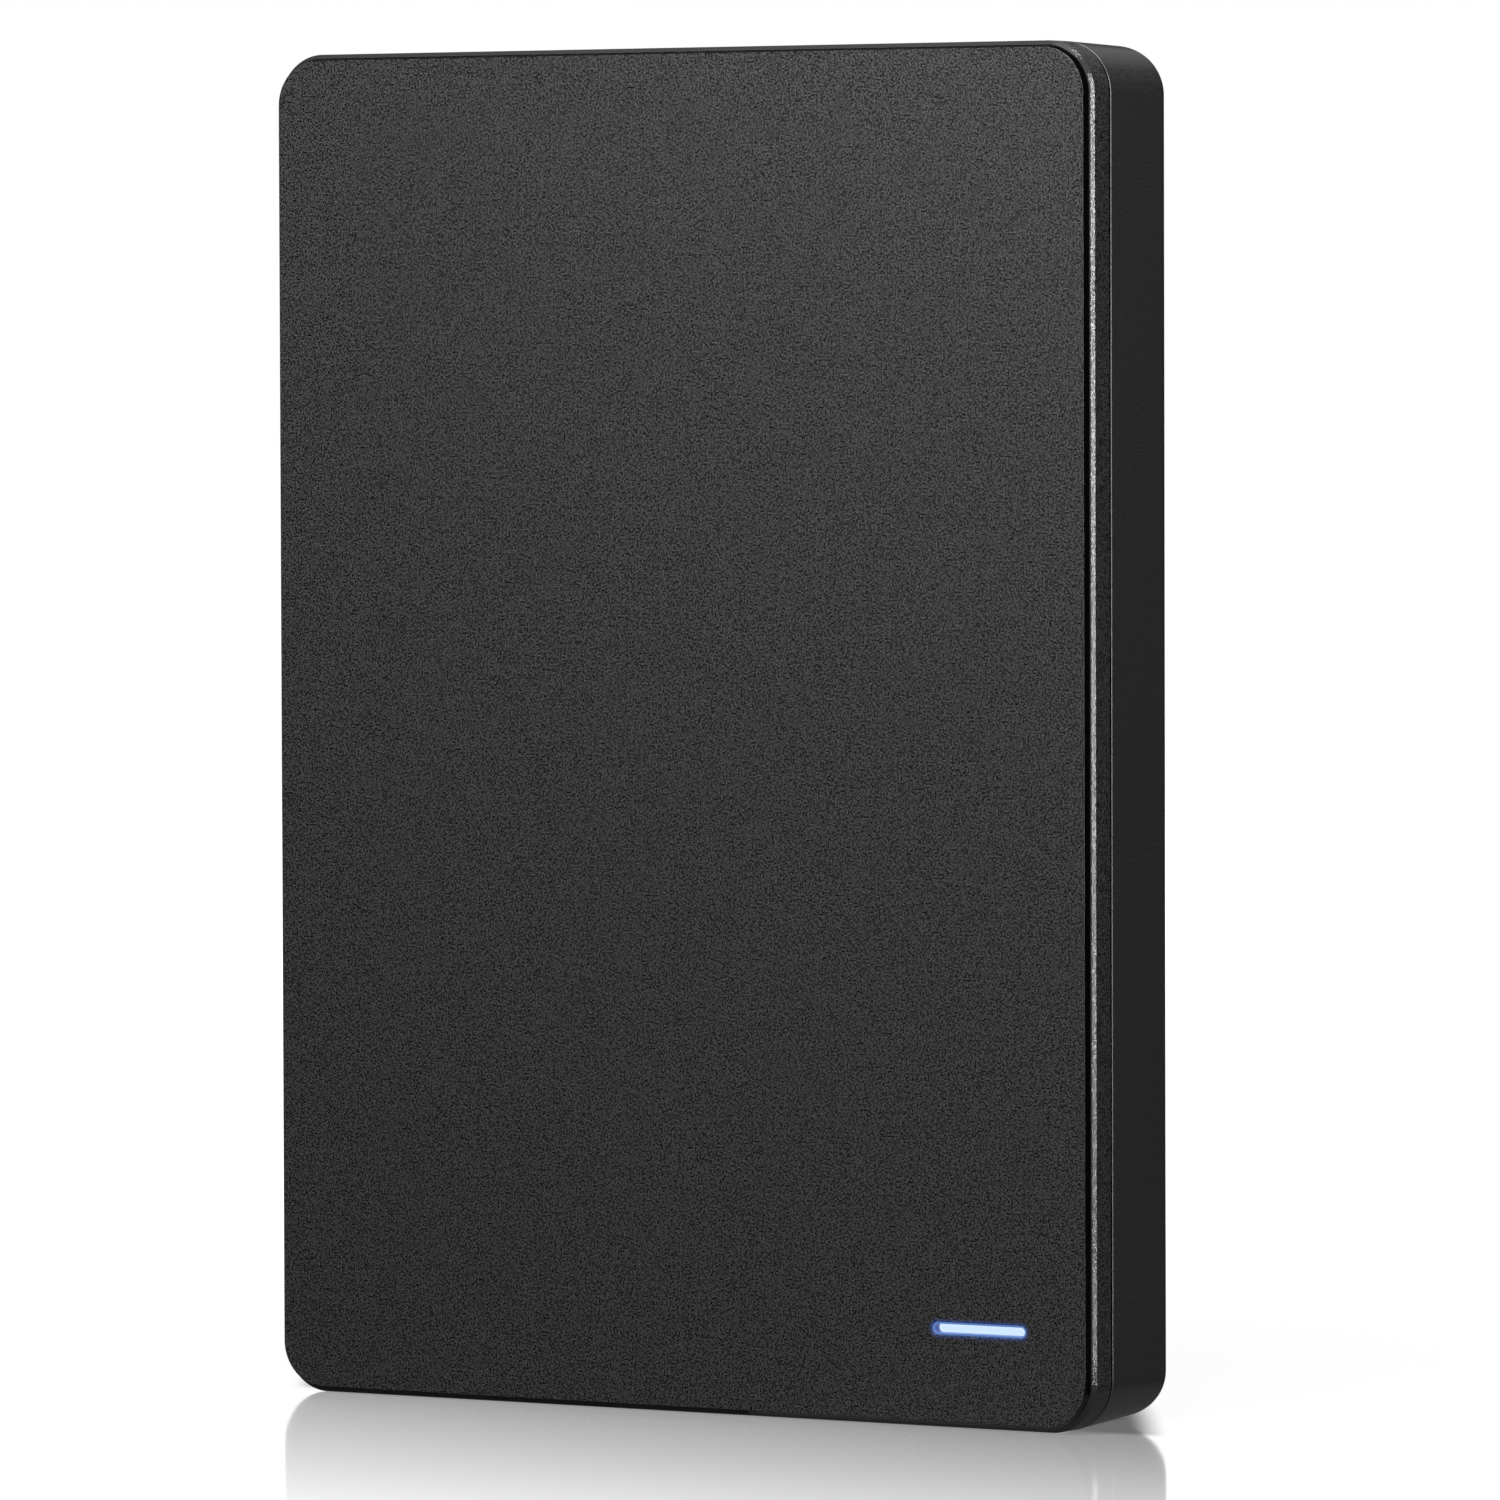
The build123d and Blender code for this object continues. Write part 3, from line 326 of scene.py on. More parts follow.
# ribs under the front shell: collar of the light guide, two board hold-downs and the eight snaps
frontRibs = {
    "collar": (11.3, 3.3, 0.9, 1.6),  # inside length, inside width, wall, height
    "holdDowns": ((-16.575, 4.8), (32.0, 4.1)),
    "holdDownSize": 2.0,
    "boardLevel": 3.9,  # above the case's back
    "snapLength": 8.0,
    "snapDepth": 0.3,
    "snapHeight": 0.6,
    "snapLevel": 9.83,
    "snapRoot": 0.3,  # let into the lip
}


def collarBoxes(spec):
    length, width, wall, height = spec
    x, z, top = lightSlot["x"], lightSlot["z"], faceY + frontShell["roof"]
    outX, outZ, inX, inZ = length / 2 + wall, width / 2 + wall, length / 2, width / 2
    return [
        (x - outX, top, z + inZ, x + outX, top + height, z + outZ),
        (x - outX, top, z - outZ, x + outX, top + height, z - inZ),
        (x - outX, top, z - inZ, x - inX, top + height, z + inZ),
        (x + inX, top, z - inZ, x + outX, top + height, z + inZ),
    ]


ribBoxes = collarBoxes(frontRibs["collar"])
halfRib = frontRibs["holdDownSize"] / 2
ribTop, ribFoot = faceY + frontShell["roof"], backY - frontRibs["boardLevel"]
for x, z in frontRibs["holdDowns"]:
    ribBoxes.append((x - halfRib, ribTop, z - halfRib, x + halfRib, ribFoot, z + halfRib))
snapLow = backY - frontRibs["snapLevel"] - frontRibs["snapHeight"]
snapHigh = backY - frontRibs["snapLevel"]
snapHalf = frontRibs["snapLength"] / 2
snapOut, snapRoot = frontRibs["snapDepth"], frontRibs["snapRoot"]
lipX, lipZ = caseWidth / 2 - frontShell["lipInset"], frontShell["lipInset"]
lipEnd = caseLength - lipZ
for z in (caseLength / 4, 3 * caseLength / 4):
    ribBoxes.append((-lipX - snapOut, snapLow, z - snapHalf, -lipX + snapRoot, snapHigh, z + snapHalf))
    ribBoxes.append((lipX - snapRoot, snapLow, z - snapHalf, lipX + snapOut, snapHigh, z + snapHalf))
for x in (-caseWidth / 4, caseWidth / 4):
    ribBoxes.append((x - snapHalf, snapLow, lipZ - snapOut, x + snapHalf, snapHigh, lipZ + snapRoot))
    ribBoxes.append((x - snapHalf, snapLow, lipEnd - snapRoot, x + snapHalf, snapHigh, lipEnd + snapOut))
ribsFront = addPiece("ribsFront", *boxRow(ribBoxes), "case", "front_plastic")

rearShell = {
    "edgeRadius": 2.2,
    "rimLevel": 10.75,  # above the back
    "rimChamfer": 0.06,
    "portDraft": 0.05,  # millimetres in per millimetre towards the back
    "farDraft": 0.025,
    "rebateInset": 0.9,
    "rebateDepth": 1.32,
    "wall": 1.8,
    "floor": 1.6,
    "perCorner": 22,
    "perSide": 14,
    "backInset": 4.0,  # first ring of the back
    "edgeSteps": 16,
    "rimStart": 0.6,  # below the rim
    "rimRounds": (0, 0.02, 0.02, 0.05, 0, 0, 0.4, 0),
    "rimSteps": 4,
    "rimSupport": 0.01,
    "floorInset": 3.6,  # last ring of the floor
    "zoneMargin": 0.01,
    "grooveDepth": 0.005,
    "grooveStart": 0.013,  # in from the rim's chamfer
}
usbPort = {
    "x": -25.0,
    "level": 5.05,  # above the back
    "width": 12.25,
    "height": 1.9,
    "mainWidth": 6.85,
    "neck": 0.6,
    "corner": 0.55,
    "cutGrow": 0.5,  # shell thickness and clearance
    "cutFlare": 0.07,
    "cutOver": 0.4,  # past the wall
}
noExtra = np.empty(0)
rearCore, rearNormal = outlinePath(
    caseWidth,
    caseLength,
    frontShell["cornerRadius"],
    rearShell["perCorner"],
    rearShell["perSide"],
    noExtra,
    noExtra,
)


# One ring of the rear shell, drawn in by an inset and set at a level above the back. Outside, the two ends lean in
# from the rim by their draft, and the corners share it by the square of their normal.
def rearRing(inset, level, outside):
    draft = np.where(rearNormal[:, 1] < 0, rearShell["portDraft"], rearShell["farDraft"]) * rearNormal[:, 1] ** 2
    lean = outside * draft * (rearShell["rimLevel"] - level)
    flat = rearCore + rearNormal * (frontShell["cornerRadius"] - inset - lean)[:, None]
    return np.stack([flat[:, 0], np.full(len(flat), backY - level), flat[:, 1] + middleZ], 1)


rim = rearShell["rimLevel"]
rearOuter = roundCorners(
    [(rearShell["backInset"], 0), (0, 0), (0, rim / 2)],
    [0, rearShell["edgeRadius"], 0],
    steps=rearShell["edgeSteps"],
)
rearUpper = roundCorners(
    [
        (0, rim - rearShell["rimStart"]),
        (0, rim - rearShell["rimChamfer"]),
        (rearShell["rimChamfer"], rim),
        (rearShell["rebateInset"], rim),
        (rearShell["rebateInset"], rim - rearShell["rebateDepth"]),
        (rearShell["wall"], rim - rearShell["rebateDepth"]),
        (rearShell["wall"], rearShell["floor"]),
        (rearShell["floorInset"], rearShell["floor"]),
    ],
    rearShell["rimRounds"],
    steps=rearShell["rimSteps"],
    support=rearShell["rimSupport"],
)
rearProfile = np.concatenate([rearOuter, rearUpper])
rearRings = np.stack(
    [rearRing(inset, level, row < len(rearOuter) + 1) for row, (inset, level) in enumerate(rearProfile)]
)
shellRear = addPiece("shellRear", rearRings, cappedFaces(*rearRings.shape[:2]), "case", "rear_plastic")


# Two-lobed outline of the USB port; each corner moves out along both side normals to grow it
def usbOutline(grow):
    half, side = usbPort["width"] / 2, usbPort["height"] / 2
    notch = side - usbPort["corner"]
    neckStart = usbPort["mainWidth"] - half
    neckEnd = neckStart + usbPort["neck"]
    slant = usbPort["corner"]
    flat = np.array(
        [
            (-half, side),
            (half, side),
            (half, -notch),
            (half - slant, -side),
            (neckEnd + slant, -side),
            (neckEnd, -notch),
            (neckStart, -notch),
            (neckStart - slant, -side),
            (-half + slant, -side),
            (-half, -notch),
        ]
    )
    along = np.roll(flat, -1, 0) - flat
    along /= np.linalg.norm(along, axis=1)[:, None]
    outward = np.stack([-along[:, 1], along[:, 0]], 1)  # the outline runs clockwise
    before = np.roll(outward, 1, 0)
    return flat + grow * (outward + before) / (1 + (outward * before).sum(1))[:, None]


def usbRing(grow, z):
    flat = usbOutline(grow)
    return np.stack([usbPort["x"] + flat[:, 0], backY - usbPort["level"] + flat[:, 1], np.full(len(flat), z)], 1)


flare = usbPort["cutFlare"]
cutRings = np.stack(
    [
        usbRing(usbPort["cutGrow"] + 2 * flare, -flare),
        usbRing(usbPort["cutGrow"], flare),
        usbRing(usbPort["cutGrow"], rearShell["wall"] + usbPort["cutOver"]),
    ]
)
usbCutter = addPiece("usbCutter", cutRings, cappedFaces(*cutRings.shape[:2]), None, None)
cutAway(shellRear, usbCutter)
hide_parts("rear_shell")

# The rim's zone is all that lies above its chamfer; its lighter tone is a painted highlight where the rim catches
# light.
# The groove's is its top inside the chamfer, found by the inset of each vertex from the case outline; its near-black
# tone is painted shade in the groove.
rearPlaces = np.empty(3 * len(shellRear.data.vertices), np.float32)
shellRear.data.vertices.foreach_get("co", rearPlaces)
rearLevels = backY - rearPlaces[1::3] / mm
onRim = rearLevels > rim - rearShell["rimChamfer"] - rearShell["zoneMargin"]
straight = np.array([caseWidth, caseLength]) / 2 - frontShell["cornerRadius"]
past = np.abs(np.stack([rearPlaces[0::3] / mm, rearPlaces[2::3] / mm - middleZ], 1)) - straight
rearInsets = frontShell["cornerRadius"] - np.linalg.norm(np.maximum(past, 0), axis=1) - np.minimum(past.max(1), 0)
grooveInset = rearShell["rimChamfer"] + rearShell["grooveStart"]
shadedGroove = (rearLevels > rim - rearShell["grooveDepth"]) & (rearInsets > grooveInset)
for name, share in (("rimHighlightZone", onRim), ("paintedShadeZone", shadedGroove)):
    zone = shellRear.data.attributes.new(name, "FLOAT", "POINT")
    zone.data.foreach_set("value", share.astype(np.float32))
print("rear shell:", len(shellRear.data.polygons), "faces")

# ribs in the rear shell: four board posts, two end fences and four bumper ribs
rearRibs = {
    "boardX": 33.0,
    "boardZ": (2.1, 11.7),
    "post": 3.0,
    "boardBack": 2.8,
    "boardFront": 3.8,
    "fence": (1.0, 6.0, 0.1),  # thickness, length, clearance
    "bumperRib": (1.8875, 1.0, 5.0),  # width, thickness, height
    "bumperRows": (17.5, 38.7),
}
floorY = backY - rearShell["floor"]
postBoxes = []
postX, half = rearRibs["boardX"] - rearRibs["post"], rearRibs["post"] / 2
for x in (-postX, postX):
    for z in (rearRibs["boardZ"][0] + half, rearRibs["boardZ"][1] - half):
        postBoxes.append((x - half, backY - rearRibs["boardBack"], z - half, x + half, floorY, z + half))
thick, long, clear = rearRibs["fence"]
wide, thin, tall = rearRibs["bumperRib"]
fenceTop = backY - rearRibs["boardFront"]
boardMiddle = sum(rearRibs["boardZ"]) / 2
fenceLow, fenceHigh = boardMiddle - long / 2, boardMiddle + long / 2
for side in (-1, 1):
    x = side * (rearRibs["boardX"] + clear + thick / 2)
    postBoxes.append((x - thick / 2, fenceTop, fenceLow, x + thick / 2, floorY, fenceHigh))
    x = side * (caseWidth / 2 - rearShell["wall"] - wide / 2)
    for z in rearRibs["bumperRows"]:
        postBoxes.append((x - wide / 2, floorY - tall, z - thin / 2, x + wide / 2, floorY, z + thin / 2))
ribsRear = addPiece("ribsRear", *boxRow(postBoxes), "case", "rear_plastic")

lightGuide = {
    "gap": 0.02,  # to the slot
    "rim": 0.15,  # wall of its cupped front
    "rimDepth": 0.05,
    "floorDepth": 1.15,
    "flange": 1.0,
    "flangeDepths": (1.8, 2.6),
    "footDepth": 9.8,
    "footLength": 3.2,
    "turns": 24,
    "floorMargin": 0.12,
    "flangeGap": 0.01,
    "rounds": (0, 0.03, 0.05, 0.03, 0),
    "roundSteps": 4,
    "support": 0.01,
}
guideTurn = np.linspace(0, 2 * math.pi, 4 * lightGuide["turns"], endpoint=False)
guideTurn = guideTurn + math.pi / (4 * lightGuide["turns"])


# One stadium ring of the guide: half cores to both sides, then a turning radius
def guideRing(halfCore, radius, depth):
    x = np.sign(np.cos(guideTurn)) * halfCore + radius * np.cos(guideTurn)
    z = radius * np.sin(guideTurn)
    return np.stack([lightSlot["x"] + x, np.full(len(x), faceY + depth), lightSlot["z"] + z], 1)


outerRadius = slotRadius - lightGuide["gap"]
innerRadius = outerRadius - lightGuide["rim"]
flangeTop, flangeFoot = lightGuide["flangeDepths"]
guideProfile = roundCorners(
    [
        (innerRadius - lightGuide["floorMargin"], lightGuide["floorDepth"]),
        (innerRadius, lightGuide["floorDepth"]),
        (innerRadius, lightGuide["rimDepth"]),
        (outerRadius, lightGuide["rimDepth"]),
        (outerRadius, flangeTop - lightGuide["flangeGap"]),
    ],
    lightGuide["rounds"],
    steps=lightGuide["roundSteps"],
    support=lightGuide["support"],
)
guideRings = [guideRing(slotCore, radius, depth) for radius, depth in guideProfile]
guideRings += [
    guideRing(slotCore, slotRadius + lightGuide["flange"], flangeTop),
    guideRing(slotCore, slotRadius + lightGuide["flange"], flangeFoot),
    guideRing(slotCore, slotRadius, flangeFoot),
    guideRing(lightGuide["footLength"] / 2 - slotRadius, slotRadius, lightGuide["footDepth"]),
]
guideRings = np.stack(guideRings)
guidePiece = addPiece("guideLit", guideRings, cappedFaces(*guideRings.shape[:2]), "case", "light_guide")
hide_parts("light_guide")
print("light guide:", len(guidePiece.data.polygons), "faces")


# Feeds inputs of a node, each from a socket or with a plain value
def feed(tree, node, values):
    for key, value in values.items():
        if isinstance(value, bpy.types.NodeSocket):
            tree.links.new(value, node.inputs[key])
        else:
            node.inputs[key].default_value = value


def addNode(tree, kind, values=None, **settings):
    node = tree.nodes.new("ShaderNode" + kind)
    for key, value in settings.items():
        setattr(node, key, value)
    feed(tree, node, values or {})
    return node


def mapRange(tree, value, low, high, start=0.0, end=1.0, curve="LINEAR"):
    limits = {"Value": value, "From Min": low, "From Max": high, "To Min": start, "To Max": end}
    return addNode(tree, "MapRange", limits, interpolation_type=curve).outputs["Result"]


def calc(tree, operation, first, second=0.0):
    return addNode(tree, "Math", {0: first, 1: second}, operation=operation).outputs[0]


def mix(tree, share, first, second):
    return addNode(tree, "Mix", {0: share, 2: first, 3: second}, data_type="FLOAT").outputs[0]


def mixColours(tree, share, first, second):
    return addNode(tree, "Mix", {0: share, 6: first, 7: second}, data_type="RGBA").outputs[2]


def mixShaders(tree, share, first, second):
    return addNode(tree, "MixShader", {0: share, 1: first, 2: second}).outputs[0]


# A grey is given as one number.
def rgba(colour):
    return (*colour, 1) if isinstance(colour, tuple) else (colour, colour, colour, 1)


def newMaterial(name):
    material = bpy.data.materials.new(name)
    material.use_nodes = True
    tree = material.node_tree
    return material, tree, tree.nodes["Principled BSDF"]


# Every effect is a group that takes a place on the object and gives a shade and a height.
def newEffect(name, inputs):
    group = bpy.data.node_groups.new(name, "ShaderNodeTree")
    group.interface.new_socket("Vector", in_out="INPUT", socket_type="NodeSocketVector")
    for label, kind, value in inputs:
        socket = group.interface.new_socket(label, in_out="INPUT", socket_type=kind)
        socket.default_value = value
    for label in ("Shade", "Height"):
        group.interface.new_socket(label, in_out="OUTPUT", socket_type="NodeSocketFloat")
    return group, group.nodes.new("NodeGroupInput").outputs, group.nodes.new("NodeGroupOutput")


# Noise keeps to the middle of its range; these limits are spread to run from 0 to 1.
noiseSpread = {"sand": (0.28, 0.72), "lines": (0.3, 0.7)}


# Grain: fine noise for the sand and, where pits are asked for, cell distance, both scaled to grains per metre
def buildGrain(name, pitted):
    inputs = [("Grains", "NodeSocketFloat", 4000.0)]
    if pitted:
        inputs.append(("Pits", "NodeSocketFloat", 0.4))
    group, given, result = newEffect(name, inputs)
    size = {0: given["Vector"], "Scale": given["Grains"]}
    scaled = addNode(group, "VectorMath", size, operation="SCALE").outputs["Vector"]
    sand = addNode(group, "TexNoise", {"Vector": scaled, "Scale": 1.0, "Detail": 0.0})
    shade = mapRange(group, sand.outputs["Fac"], *noiseSpread["sand"])
    if pitted:
        pits = addNode(group, "TexVoronoi", {"Vector": scaled, "Scale": 0.8, "Randomness": 1.0})
        shade = mix(group, given["Pits"], shade, pits.outputs["Distance"])
    feed(group, result, {"Shade": shade, "Height": shade})
    return group


# Drawn metal: noise stretched along one axis, so it runs in lines
def buildDrawnLines():
    group, given, result = newEffect("drawnLines", [("Stretch", "NodeSocketVector", (200.0, 200.0, 9000.0))])
    stretch = {0: given["Vector"], 1: given["Stretch"]}
    scaled = addNode(group, "VectorMath", stretch, operation="MULTIPLY").outputs["Vector"]
    lines = addNode(group, "TexNoise", {"Vector": scaled, "Scale": 1.0, "Detail": 3.0, "Roughness": 0.6})
    shade = mapRange(group, lines.outputs["Fac"], *noiseSpread["lines"])
    feed(group, result, {"Shade": shade, "Height": shade})
    return group


# Board tracks: thin bricks laid over the board read as traces under the solder mask
def buildBoardTracks():
    group, given, result = newEffect("boardTracks", [("Tracks", "NodeSocketFloat", 420.0)])
    split = addNode(group, "SeparateXYZ", {0: given["Vector"]}).outputs
    flat = addNode(group, "CombineXYZ", {"X": split["X"], "Y": split["Z"]}).outputs[0]
    scaled = addNode(group, "VectorMath", {0: flat, "Scale": given["Tracks"]}, operation="SCALE")
    look = {"Color1": rgba(0), "Color2": rgba(0.25), "Mortar": rgba(1), "Mortar Size": 0.06, "Scale": 1.0}
    bricks = addNode(group, "TexBrick", {"Vector": scaled.outputs["Vector"], **look})
    feed(group, result, {"Shade": bricks.outputs["Color"], "Height": bricks.outputs["Fac"]})
    return group


effects = {
    "spark": buildGrain("sparkGrain", False),
    "grain": buildGrain("pittedGrain", True),
    "lines": buildDrawnLines(),
    "tracks": buildBoardTracks(),
}


# A finish mixes two colours and two roughnesses by its effect's shade and lifts the surface by its height.
def makeFinish(name, look):
    material, tree, surface = newMaterial(name)
    kind = next(kind for kind in effects if kind in look)
    place = addNode(tree, "TexCoord").outputs["Object"]
    effect = addNode(tree, "Group", {"Vector": place, **look[kind]}, node_tree=effects[kind]).outputs
    lift = {"Strength": look.get("lift", 0.3), "Distance": look.get("relief", 0.02) * mm, "Height": effect["Height"]}
    values = {
        "Metallic": look.get("metal", 0.0),
        "Specular IOR Level": look.get("gloss", 0.5),
        "Base Color": mixColours(tree, effect["Shade"], rgba(look["dark"]), rgba(look["light"])),
        "Roughness": mapRange(tree, effect["Shade"], 0.0, 1.0, *look["rough"]),
        "Normal": addNode(tree, "Bump", lift).outputs["Normal"],
    }
    feed(tree, surface, values)
    return material


# One finish for each slot of the record: its effect, two colours, two roughnesses and its relief in millimetres
finishes = {
    "foam": {
        "grain": {"Grains": 1400.0, "Pits": 0.8},
        "dark": (0.015, 0.015, 0.016),
        "light": (0.075, 0.075, 0.08),
        "rough": (0.85, 0.98),
        "gloss": 0.2,
        "lift": 0.8,
        "relief": 0.2,
    },
    "bumper_rubber": {
        "grain": {"Grains": 2200.0, "Pits": 0.2},
        "dark": 0.045,
        "light": 0.075,
        "rough": (0.65, 0.8),
        "gloss": 0.35,
        "lift": 0.2,
    },
    "board_laminate": {
        "tracks": {"Tracks": 420.0},
        "dark": (0.012, 0.12, 0.05),
        "light": (0.05, 0.26, 0.12),
        "rough": (0.28, 0.4),
        "lift": 0.25,
        "relief": 0.03,
    },
    "connector_plastic": {
        "grain": {"Grains": 2600.0, "Pits": 0.2},
        "dark": (0.022, 0.022, 0.023),
        "light": (0.04, 0.04, 0.041),
        "rough": (0.4, 0.52),
        "lift": 0.15,
    },
    "contact_gold": {
        "lines": {"Stretch": (9000.0, 9000.0, 300.0)},
        "dark": (0.72, 0.5, 0.18),
        "light": (0.9, 0.72, 0.34),
        "metal": 1.0,
        "rough": (0.2, 0.32),
        "lift": 0.1,
    },
    "socket_steel": {
        "lines": {"Stretch": (300.0, 7000.0, 300.0)},
        "dark": (0.5, 0.5, 0.51),
        "light": (0.7, 0.7, 0.71),
        "metal": 1.0,
        "rough": (0.28, 0.42),
        "lift": 0.12,
    },
    "chip_epoxy": {
        "grain": {"Grains": 5200.0, "Pits": 0.3},
        "dark": (0.022, 0.022, 0.025),
        "light": (0.048, 0.048, 0.054),
        "rough": (0.5, 0.65),
        "lift": 0.25,
    },
    "ferrite": {
        "grain": {"Grains": 3600.0, "Pits": 0.5},
        "dark": (0.07, 0.07, 0.076),
        "light": (0.15, 0.15, 0.16),
        "rough": (0.55, 0.75),
        "lift": 0.3,
    },
    "led_body": {
        "grain": {"Grains": 1500.0, "Pits": 0.1},
        "dark": (0.78, 0.8, 0.84),
        "light": (0.92, 0.94, 0.96),
        "rough": (0.18, 0.28),
        "lift": 0.05,
    },
    "ceramic": {
        "grain": {"Grains": 3000.0, "Pits": 0.3},
        "dark": (0.42, 0.31, 0.2),
        "light": (0.62, 0.49, 0.34),
        "rough": (0.45, 0.6),
        "lift": 0.1,
    },
    "casting": {
        "grain": {"Grains": 2400.0, "Pits": 0.4},
        "dark": (0.46, 0.47, 0.48),
        "light": (0.68, 0.69, 0.7),
        "metal": 1.0,
        "rough": (0.42, 0.58),
        "lift": 0.3,
    },
    "cover_steel": {
        "lines": {"Stretch": (6000.0, 6000.0, 160.0)},
        "dark": (0.54, 0.54, 0.55),
        "light": (0.74, 0.74, 0.75),
        "metal": 1.0,
        "rough": (0.3, 0.42),
        "lift": 0.12,
    },
    "gasket": {
        "grain": {"Grains": 2600.0, "Pits": 0.3},
        "dark": 0.035,
        "light": 0.065,
        "rough": (0.7, 0.85),
        "gloss": 0.3,
        "lift": 0.2,
    },
    "bearing_steel": {
        "lines": {"Stretch": (3500.0, 9000.0, 3500.0)},
        "dark": (0.64, 0.64, 0.65),
        "light": (0.78, 0.78, 0.79),
        "metal": 1.0,
        "rough": (0.18, 0.28),
        "lift": 0.08,
    },
    "stator_steel": {
        "lines": {"Stretch": (200.0, 5200.0, 200.0)},
        "dark": (0.24, 0.25, 0.27),
        "light": (0.46, 0.47, 0.5),
        "metal": 1.0,
        "rough": (0.38, 0.5),
        "lift": 0.4,
        "relief": 0.05,
    },
    "copper_wire": {
        "lines": {"Stretch": (5200.0, 900.0, 5200.0)},
        "dark": (0.5, 0.2, 0.08),
        "light": (0.86, 0.44, 0.22),
        "metal": 1.0,
        "rough": (0.26, 0.4),
        "lift": 0.5,
        "relief": 0.05,
    },
    "magnet": {
        "grain": {"Grains": 3200.0, "Pits": 0.2},
        "dark": (0.5, 0.5, 0.49),
        "light": (0.68, 0.68, 0.66),
        "metal": 1.0,
        "rough": (0.24, 0.36),
        "lift": 0.1,
    },
    "platter": {
        "grain": {"Grains": 4000.0, "Pits": 0.0},
        "dark": (0.71, 0.71, 0.73),
        "light": (0.74, 0.74, 0.76),
        "metal": 1.0,
        "rough": (0.05, 0.07),
        "lift": 0.01,
    },
    "arm_aluminium": {
        "lines": {"Stretch": (5000.0, 400.0, 700.0)},
        "dark": (0.58, 0.58, 0.6),
        "light": (0.8, 0.8, 0.82),
        "metal": 1.0,
        "rough": (0.28, 0.4),
        "lift": 0.12,
    },
    "spring_steel": {
        "lines": {"Stretch": (500.0, 7000.0, 4000.0)},
        "dark": (0.58, 0.58, 0.56),
        "light": (0.78, 0.78, 0.76),
        "metal": 1.0,
        "rough": (0.2, 0.3),
        "lift": 0.08,
    },
    "ramp_plastic": {
        "grain": {"Grains": 2000.0, "Pits": 0.1},
        "dark": (0.7, 0.68, 0.6),
        "light": (0.84, 0.82, 0.74),
        "rough": (0.26, 0.36),
        "lift": 0.08,
    },
    "filter_cloth": {
        "grain": {"Grains": 1600.0, "Pits": 0.5},
        "dark": (0.68, 0.68, 0.66),
        "light": (0.92, 0.92, 0.9),
        "rough": (0.85, 0.95),
        "gloss": 0.2,
        "lift": 0.6,
        "relief": 0.1,
    },
}
materials = {name: makeFinish(name, look) for name, look in finishes.items()}

# Both shells are grained all over, with a distinct edge in one zone and a smooth near-black step or groove in another.
# That near-black is painted shade where the step and the groove fall in shadow; the smoothness is their polish.
# On the rear shell the edge zone is the rim, whose lighter tone is a painted highlight.
frontPlastic = {
    "grains": 6600.0,
    "dark": 0.0,
    "light": 0.063,
    # near-black tone of the step zone: painted shade at the foot of the face
    "step": 0.0015,
    "rough": (0.42, 0.58),
    "stepRough": 0.05,
    "edgeZone": "bevelZone",
    "edge": 0.032,
    "edgeRough": 0.12,
    "lift": 0.52,
    "edgeLift": 0.28,
    "relief": 0.03,
    "paintedGlow": (0.006, 0.022, 0.1),  # painted glow on the face round the slot, standing in for light leaking from it
    "paintedGlowReach": 0.4,
}
rearPlastic = {
    "grains": 6000.0,
    "dark": 0.022,
    "light": 0.045,
    # near-black tone of the groove zone: painted shade in the parting groove
    "step": 0.0015,
    "rough": (0.29, 0.35),
    "stepRough": 0.05,
    "edgeZone": "rimHighlightZone",
    # lighter tone of the rim: painted highlight where it catches the light
    "edge": 0.065,
    "edgeRough": 0.3,
    "lift": 0.15,
    "edgeLift": 0.05,
    "relief": 0.012,
}


def makeShellPlastic(name, look):
    material, tree, surface = newMaterial(name)
    place = addNode(tree, "TexCoord").outputs["Object"]
    size = {"Vector": place, "Grains": look["grains"]}
    grain = addNode(tree, "Group", size, node_tree=effects["spark"]).outputs
    # The step or groove zone takes the near-black step tone, which is painted shade, and a smooth polish.
    step = addNode(tree, "Attribute", attribute_name="paintedShadeZone").outputs["Fac"]
    edge = addNode(tree, "Attribute", attribute_name=look["edgeZone"]).outputs["Fac"]
    tint = mixColours(tree, grain["Shade"], rgba(look["dark"]), rgba(look["light"]))
    # On the rear shell the edge zone is the rim, and its lighter tone is a painted highlight.
    tint = mixColours(tree, edge, tint, rgba(look["edge"]))
    rough = mapRange(tree, grain["Shade"], 0.0, 1.0, *look["rough"])
    rough = mix(tree, edge, rough, look["edgeRough"])
    lift = mapRange(tree, edge, 0.0, 1.0, look["lift"], look["edgeLift"])
    relief = {"Strength": mix(tree, step, lift, 0.0), "Distance": look["relief"] * mm, "Height": grain["Height"]}
    values = {
        "Base Color": mixColours(tree, step, tint, rgba(look["step"])),
        "Roughness": mix(tree, step, rough, look["stepRough"]),
        "Normal": addNode(tree, "Bump", relief).outputs["Normal"],
    }
    feed(tree, surface, values)
    if "paintedGlow" in look:
        addPaintedGlow(tree, surface, place, look)
    return material


